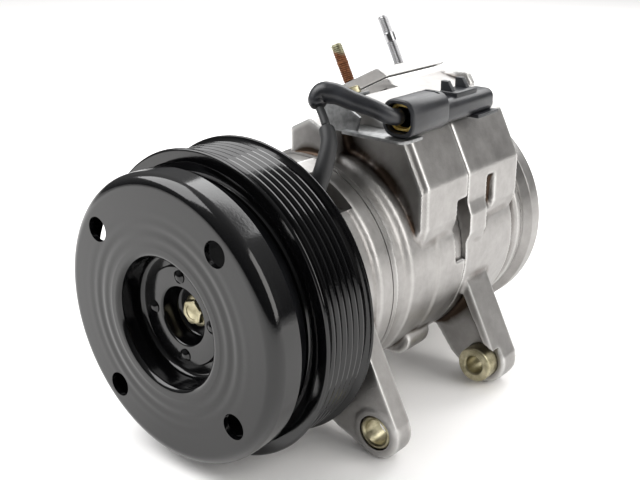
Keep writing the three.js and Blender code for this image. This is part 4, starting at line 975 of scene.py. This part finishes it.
def make_rear_head():
    start = REAR_JOINT
    head = turned("rear_head_casting", np.vstack([
        [(0, 201.5), (20, 201.5), (20, 200.8), (24, 200.8), (24, 204.5), (40, 204.5)],
        [(43.7, 201), (43.7, start)],
        [(JOINT_RADIUS - 0.3, start), (JOINT_RADIUS, start + 0.3), (JOINT_RADIUS, start + 1.6)],
        arc(HEAD_RADIUS - 0.8, 202.6, 0.8, 300, 360, 5),
        arc(HEAD_RADIUS - HEAD_CORNER, REAR_END - HEAD_CORNER, HEAD_CORNER, 0, 90, 12),
        [(34.6, REAR_END)], arc(34, REAR_END - 0.6, 0.6, 90, 160, 4),
        [(30.4, REAR_END - 2), (0, REAR_END - 2)],
    ]), 192, 28)
    carve(head, [rod(x, z, TIE_BOLT_WAY, 196, 207, 32) for x, z in TIE_BOLTS])
    for name in ("ridge", "hollow"):
        head.data.attributes.new(name, "FLOAT", "POINT")
    soften(head, 28)
    return tilt(head)


def make_port_block():
    outline = [(-2, PORT_BASE), (41, PORT_BASE), (37, PORT_TOP - 0.6), (36, PORT_TOP), (2, PORT_TOP)]
    pad = prism("port_pad_casting", outline + [(-2, PORT_TOP - 3)], *PORT_BLOCK)
    remesh(pad, 2, voxel=0.6)
    mark_relief(pad)
    carve(pad, port_bores(PORT_BASE - 1, PORT_TOP + 1))
    soften(pad, 28)
    return tilt(pad)


finish_piece(make_rear_head(), CASTING, "cast_aluminium", "compressor_body", "rear_head")
finish_piece(make_port_block(), CASTING, "cast_aluminium", "compressor_body", "port_block")


# ---- Working parts inside the castings: bearings, valve plates, tie bolts and pistons, all hidden.
# The pistons are forged aluminium, turned and coated; the rest is hardened steel.
dress([f"{end}_{kind}_bearing" for end in ("front", "rear") for kind in ("thrust", "radial")], BRIGHT_STEEL)
dress(["front_valve_plate", "rear_valve_plate"], STEEL)
dress([f"tie_bolt_{i}" for i in (1, 2, 3, 4, 5)], STEEL)
PISTON_METAL = machined_steel("turned_aluminium", "#a3a4a6", "#c9cacc", 0.2, 0.35)
dress([f"piston_{i}" for i in (1, 2, 3, 4, 5)], PISTON_METAL)


# ---- Ear bushes: rolled steel sleeves pressed into both ears, zinc plated and passivated.
# They carry the mounting bolts and take their clamping load.
def make_bush(name, radius, bore, start, end):
    bush = turned(name, np.vstack([
        [(bore + 0.7, start), (radius - 1.0, start)], arc(radius - 1.0, start + 1.0, 1.0, 290, 360, 5),
        [(radius, end - 0.4), (radius - 0.4, end)],
        [(bore + 0.4, end), (bore, end - 0.4), (bore, start + 0.7)],
    ]), 96, 30)
    bush.data.transform(matrix_at(*EAR_LINE))
    return tilt(bush)


front_sleeve = make_bush("front_ear_sleeve", 7.8, 5.75, 62.7, 73.8)
rear_sleeve = make_bush("rear_ear_sleeve", 8.8, 4.6, 143.5, 164)
finish_piece(front_sleeve, ZINC, "yellow_zinc", "compressor_body", "front_ear_bush")
finish_piece(rear_sleeve, ZINC, "yellow_zinc", "compressor_body", "rear_ear_bush")


# ---- Port studs: two M6 studs with rolled threads, one rusted where its plating has gone, one still bright.
# The thread is a wave on the radius that climbs one pitch a turn.
THREAD_PITCH = 1.0
THREAD_DEPTH = 0.55
STUD_RADIUS = 3
STUD_SIDES = 28
STUD_TIP = 2.1
STUD_FOOT = 2.4


def tube_faces(rows, sides):
    """Faces of a closed tube of rings, whose two end points follow the rings in the list."""
    low, high = rows * sides, rows * sides + 1
    last = low - sides
    faces = [tuple(f) for f in grid_faces(rows, sides, False, True)]
    faces += [(j, (j + 1) % sides, low) for j in range(sides)]
    return faces + [(last + (j + 1) % sides, last + j, high) for j in range(sides)]


def make_stud(name, x, station, tip, plain_from, plain_to):
    """Radius = the stud's less a triangle wave of height / pitch - turn, faded out on the plain shank."""
    base = PORT_TOP + 0.3
    heights = np.arange(base, tip, THREAD_PITCH / 6)
    angles = np.linspace(0, 2 * math.pi, STUD_SIDES, endpoint=False)
    h, a = np.meshgrid(heights, angles, indexing="ij")
    wave = np.abs(((h / THREAD_PITCH - a / (2 * math.pi)) % 1) - 0.5) * 2
    threaded = np.clip((h - plain_to) / 0.8, 0, 1) + np.clip((plain_from - h) / 0.8, 0, 1)
    radius = STUD_RADIUS - THREAD_DEPTH * wave * np.clip(threaded, 0, 1)
    radius = np.minimum(radius, STUD_TIP + (tip - h) * 0.9)
    radius = np.minimum(radius, STUD_FOOT + np.maximum(h - base, 0) * 2)
    rings = np.stack([radius * np.cos(a), h, radius * np.sin(a)], axis=-1).reshape(-1, 3)
    points = np.vstack([rings, [(0, heights[0], 0), (0, heights[-1], 0)]])
    stud = make_piece(name, points, tube_faces(len(heights), STUD_SIDES), 50)
    stand_up(stud, x, station)
    return tilt(stud)


def rusted_stud():
    """A zinc-plated stud gone to orange-brown rust on its lower half, with the plating left near the tip."""
    material, tree = new_material("rusted_zinc_stud")
    place = add_node(tree, "ShaderNodeTexCoord")
    split = add_node(tree, "ShaderNodeSeparateXYZ", links={0: place.outputs["Object"]})
    wander = {"operation": "MULTIPLY_ADD", 1: 0.004}
    sources = {0: object_noise(tree, 260, 4.0, 0.6), 2: split.outputs["Z"]}
    height = add_node(tree, "ShaderNodeMath", wander, sources).outputs[0]
    edge = scaled(tree, height, 0.0, 1.0, 0.0895, 0.0915)
    pits = object_noise(tree, 700, 5.0, 0.7)
    rust = two_tone(tree, pits, "#4a2a18", "#8f5a36", 0.3, 0.7)
    plate = two_tone(tree, pits, "#77745f", "#b9b69c")
    base = add_node(tree, "ShaderNodeMix", {"data_type": "RGBA"}, {0: edge, 6: rust, 7: plate}).outputs[2]
    shine = scaled(tree, edge, 0.15, 0.9)
    rough = scaled(tree, edge, 0.85, 0.45)
    bump = relief(tree, pits, 0.4, 0.0003)
    return surface(material, {}, {"Base Color": base, "Metallic": shine, "Roughness": rough, "Normal": bump})


front_stud = make_stud("front_port_stud", 15, 146, 96, 86, 86)
rear_stud = make_stud("rear_port_stud", 16, 189.3, 106, 92, 96)
finish_piece(front_stud, rusted_stud(), "rusted_steel", "compressor_body", "port_stud_1")
finish_piece(rear_stud, BRIGHT_STEEL, "bright_steel", "compressor_body", "port_stud_2")


# ---- Lead: a rubber boot out of the coil, a sheathed lead, and a hard sleeve to the connector.
# The sleeve is one moulding: an elbow at one end, a long taper, and a plain tail inside the shell.
def swept(name, path, radius, sides=28, smooth=40):
    """A round section carried along a smooth curve: points = path + r(s) (normal cos a + binormal sin a).

    The radius is one number, or a pair of lists: shares of the way along, and the radius at each."""
    path = np.asarray(path, dtype=float)
    knots = np.concatenate([[0], np.cumsum(np.linalg.norm(np.diff(path, axis=0), axis=1))])
    steps = int(knots[-1] / 0.6) + 2
    at = np.linspace(0, knots[-1], steps)
    spine = catmull(path, knots, at)
    heading = np.gradient(spine, axis=0)
    heading /= np.linalg.norm(heading, axis=1)[:, None]
    side = np.empty_like(heading)
    side[0] = np.cross(heading[0], (0, 0, 1) if abs(heading[0][2]) < 0.9 else (1, 0, 0))
    side[0] /= np.linalg.norm(side[0])
    for i in range(1, steps):
        moved = side[i - 1] - heading[i] * np.dot(side[i - 1], heading[i])
        side[i] = moved / np.linalg.norm(moved)
    across = np.cross(heading, side)
    a = np.linspace(0, 2 * math.pi, sides, endpoint=False)[None, :, None]
    along = at / knots[-1]
    width = np.full(steps, float(radius)) if np.isscalar(radius) else np.interp(along, *radius)
    ends = np.minimum(at, knots[-1] - at)
    width = width - 0.5 * np.clip(1 - ends / 0.8, 0, 1) ** 2
    ring = np.cos(a) * side[:, None, :] + np.sin(a) * across[:, None, :]
    points = (spine[:, None, :] + width[:, None, None] * ring).reshape(-1, 3)
    points[:, 1] -= BOLT_FACE
    caps = spine[[0, -1]] - (0, BOLT_FACE, 0)
    return make_piece(name, np.vstack([points, caps]), tube_faces(steps, sides), smooth)


def catmull(path, knots, at):
    """A smooth cubic through the points: on each span, a Hermite curve with slopes from its neighbours."""
    slope = np.gradient(path, knots, axis=0)
    span = np.clip(np.searchsorted(knots, at, side="right") - 1, 0, len(path) - 2)
    length = (knots[span + 1] - knots[span])[:, None]
    t = (at - knots[span])[:, None] / length
    leaving, arriving = slope[span] * length, slope[span + 1] * length
    near = (2 * t**3 - 3 * t**2 + 1) * path[span] + (t**3 - 2 * t**2 + t) * leaving
    return near + (3 * t**2 - 2 * t**3) * path[span + 1] + (t**3 - t**2) * arriving


def moulded_nylon():
    """Glass-filled nylon: blue-black, satin, with a fine spark-eroded grain and paler scuffs."""
    material, tree = new_material("glass_filled_nylon")
    scuff = object_noise(tree, 130, 5.0, 0.65)
    shade = two_tone(tree, scuff, "#0d0e12", "#222429", 0.35, 0.75)
    rough = scaled(tree, scuff, 0.3, 0.48)
    grain = relief(tree, object_noise(tree, 1500, 2.0), 0.2, 0.0002)
    return surface(material, {"IOR": 1.53}, {"Base Color": shade, "Roughness": rough, "Normal": grain})


BOOT_PATH = [(29, 53.0, 40.5), (29, 55.6, 40.5), (30, 58.8, 46.5), (32.6, 62.5, 59.5), (31.2, 67, 67.5),
             (27, 70.5, 72.7)]
LEAD_PATH = [(26.7, 70.8, 73.1), (23, 73, 76.5), (19.6, 74.6, 79.5)]
SLEEVE_PATH = [(19.3, 74.8, 79.8), (17.6, 76, 82.3), (18.6, 77.4, 84.8), (22.5, 79.4, 85.1), (30, 84, 82.1),
               (38.4, 88.2, 79.2), (43.4, 92.4, 76.2), (44.4, 95, 75.4), (44.4, 97.6, 75.3)]
BOOT_WIDTHS = ([0, 0.1, 0.5, 1], [4, 4, 3.9, 3.3])
SLEEVE_WIDTHS = ([0, 0.06, 0.2, 0.36, 0.6, 1], [3.2, 4.2, 4.7, 4.3, 3.8, 3.5])
LEAD_RADIUS = 1.8
NYLON = moulded_nylon()
boot = swept("coil_boot_moulding", BOOT_PATH, BOOT_WIDTHS)
lead = swept("coil_wires", LEAD_PATH, LEAD_RADIUS, 16)
sleeve = swept("sleeve_moulding", SLEEVE_PATH, SLEEVE_WIDTHS)
finish_piece(boot, RUBBER, "rubber", "compressor_body", "coil_boot")
finish_piece(lead, RUBBER, "rubber", "compressor_body", "coil_lead")
finish_piece(sleeve, NYLON, "black_plastic", "compressor_body", "lead_sleeve")


# ---- Connector: a moulded shell round a yellow silicone seal, its mating plug behind with a release latch.
# The mouth is open to the front; the plug's flat foot lies along the box.
CONNECTOR = (45.4, 74.8)
SHELL_HALF = (8.4, 8.2)
PLUG = (44.4, 72.5)
PLUG_HALF = (6.3, 5.4)
MOUTH_HALF = (6.6, 6.4)
SEAL_HALF = (6.1, 5.9)
SEAL_WAY = (4.9, 4.7)
SHELL_FRONT = 95
SHELL_REAR = 122
PLUG_REAR = 165


def stadium(middle, half, part=0.75, steps=9):
    """A slab with round corners, across the shaft; the corner is a part of its smaller half."""
    r = min(half) * part
    x, z = half[0] - r, half[1] - r
    corners = ((x, z, 0), (-x, z, 90), (-x, -z, 180), (x, -z, 270))
    mid_x, mid_z = middle
    return np.vstack([arc(mid_x + a, mid_z + b, r, turn, turn + 90, steps) for a, b, turn in corners])


def oblong(left, right, low, high):
    """A plain rectangle across the shaft."""
    return [(left, low), (right, low), (right, high), (left, high)]


def make_shell():
    shell = prism("connector_shell_moulding", stadium(CONNECTOR, SHELL_HALF), SHELL_FRONT, SHELL_REAR, 0.9)
    carve(shell, [prism("mouth", stadium(CONNECTOR, MOUTH_HALF), SHELL_FRONT - 1, SHELL_FRONT + 17)])
    groove = stadium((CONNECTOR[0], CONNECTOR[1] + 8.6), (7, 1.1), 0.9)
    carve(shell, [prism("groove", groove, SHELL_REAR - 4.5, SHELL_REAR - 3)])
    soften(shell, 35)
    return shell


def make_plug():
    x, z = PLUG
    top, back = z + 4.4, x - 5.5
    plug = prism("connector_plug_moulding", stadium(PLUG, PLUG_HALF), SHELL_REAR + 0.3, PLUG_REAR, 1.4)
    foot_outline = [(x - 1, z - 4.4), (x + 8.5, z - 4.4), (x + 8.5, z - 6), (x - 1, z - 6)]
    foot = prism("foot", foot_outline, PLUG_REAR - 17, PLUG_REAR + 1, 0.3)
    latch = prism("latch", oblong(back, x + 4, top - 2, top + 2.8), 136, 153, 0.5)
    tooth = [(back, top), (x + 3, top), (x - 2, top + 7.2), (back, top + 7.2)]
    teeth = [prism("tooth", tooth, y - 1.3, y + 1.3, 0.3) for y in (138, 150)]
    carve(plug, [foot, latch] + teeth, "UNION")
    soften(plug, 35)
    return plug


def make_seal():
    seal = prism("connector_seal_ring", stadium(CONNECTOR, SEAL_HALF), SHELL_FRONT + 3, SHELL_FRONT + 6, 0.5)
    carve(seal, [prism("way", stadium(CONNECTOR, SEAL_WAY), SHELL_FRONT + 2, SHELL_FRONT + 7)])
    soften(seal, 35)
    return seal


def silicone_seal():
    """Yellow silicone rubber: soft sheen, with darker oily smears."""
    material, tree = new_material("yellow_silicone")
    shade = two_tone(tree, object_noise(tree, 420, 4.0, 0.6), "#a8822c", "#e8d080", 0.3, 0.65)
    return surface(material, {"Roughness": 0.35, "IOR": 1.41}, {"Base Color": shade})


finish_piece(make_shell(), NYLON, "black_plastic", "compressor_body", "connector_shell")
finish_piece(make_plug(), NYLON, "black_plastic", "compressor_body", "connector_plug")
finish_piece(make_seal(), silicone_seal(), "yellow_seal", "compressor_body", "connector_seal")


# ---- Bracket: a bent strip of zinc-plated sheet that holds the connector, and the screw in its foot.
# The shelf lies under the connector's mouth, and the flap at the leaf's end is screwed to the casting.
SHEET = 1.5
FLAP_UNDER = 63.3
LEAF_FRONT = 94
SCREW_RADIUS = 4.6
SCREW_HEIGHT = 3.5
SCREW_PLACE = (42, 112)           # across the shaft, and the station


def zinc_sheet():
    """Dull grey zinc on pressed sheet, with faint spangle and rub marks."""
    material, tree = new_material("dull_zinc_sheet")
    spangle = object_noise(tree, 240, 4.0, 0.6)
    shade = two_tone(tree, spangle, "#6f7071", "#a2a3a3", 0.3, 0.7)
    rough = scaled(tree, spangle, 0.55, 0.38)
    return surface(material, {"Metallic": 1.0}, {"Base Color": shade, "Roughness": rough})


def make_bracket():
    x, top = CONNECTOR[0], CONNECTOR[1] - SHELL_HALF[1] - 0.3
    right = arc(x + 2, 95, 4, -90, 0, 6)
    shelf_plan = np.vstack([[(x - 27, 91)], right, [(x + 6, 105.4), (x - 27, 105.4)]])
    shelf = flat_plate("connector_bracket_strip", shelf_plan, top - SHEET, top)
    over = FLAP_UNDER + SHEET
    flap_outline = [as_it_lies(*c) for c in oblong(37, 47, FLAP_UNDER, over)]
    flap = prism("flap", flap_outline, LEAF_FRONT, LEAF_FRONT + 24)
    leaf_outline = [(x - 40, top - 1.4), as_it_lies(37, over), as_it_lies(47, over), (x - 19.5, top + 6.2)]
    leaf = prism("leaf", leaf_outline + [(x - 21.5, top - 1.5)], LEAF_FRONT, LEAF_FRONT + SHEET)
    carve(shelf, [leaf, flap], "UNION")
    round_edges(shelf, 0.3, 2, 40, 30)
    return shelf


def flat_plate(name, plan, low, high):
    """A plan of (x, station) points, as the object lies, made a plate between two heights."""
    count = len(plan)
    flat = [plan[:, 0], plan[:, 1] - BOLT_FACE]
    rings = [np.column_stack(flat + [np.full(count, z)]) for z in (low, high)]
    return make_piece(name, np.vstack(rings), end_faces(count))


def make_bracket_screw():
    """A hexagon head with a chamfered crown, standing on the flap."""
    base = FLAP_UNDER + SHEET + 0.3
    crown = base + SCREW_HEIGHT
    side = [(0, base), (SCREW_RADIUS, base), (SCREW_RADIUS, crown - 0.5), (SCREW_RADIUS - 0.4, crown)]
    head = upward(side + [(0, crown)], *SCREW_PLACE, 6, 20, "bracket_screw_head")
    round_edges(head, 0.3, 2, 30, 30)
    return tilt(head)


finish_piece(make_bracket(), zinc_sheet(), "steel", "compressor_body", "connector_bracket")
finish_piece(make_bracket_screw(), ZINC, "yellow_zinc", "compressor_body", "bracket_screw")
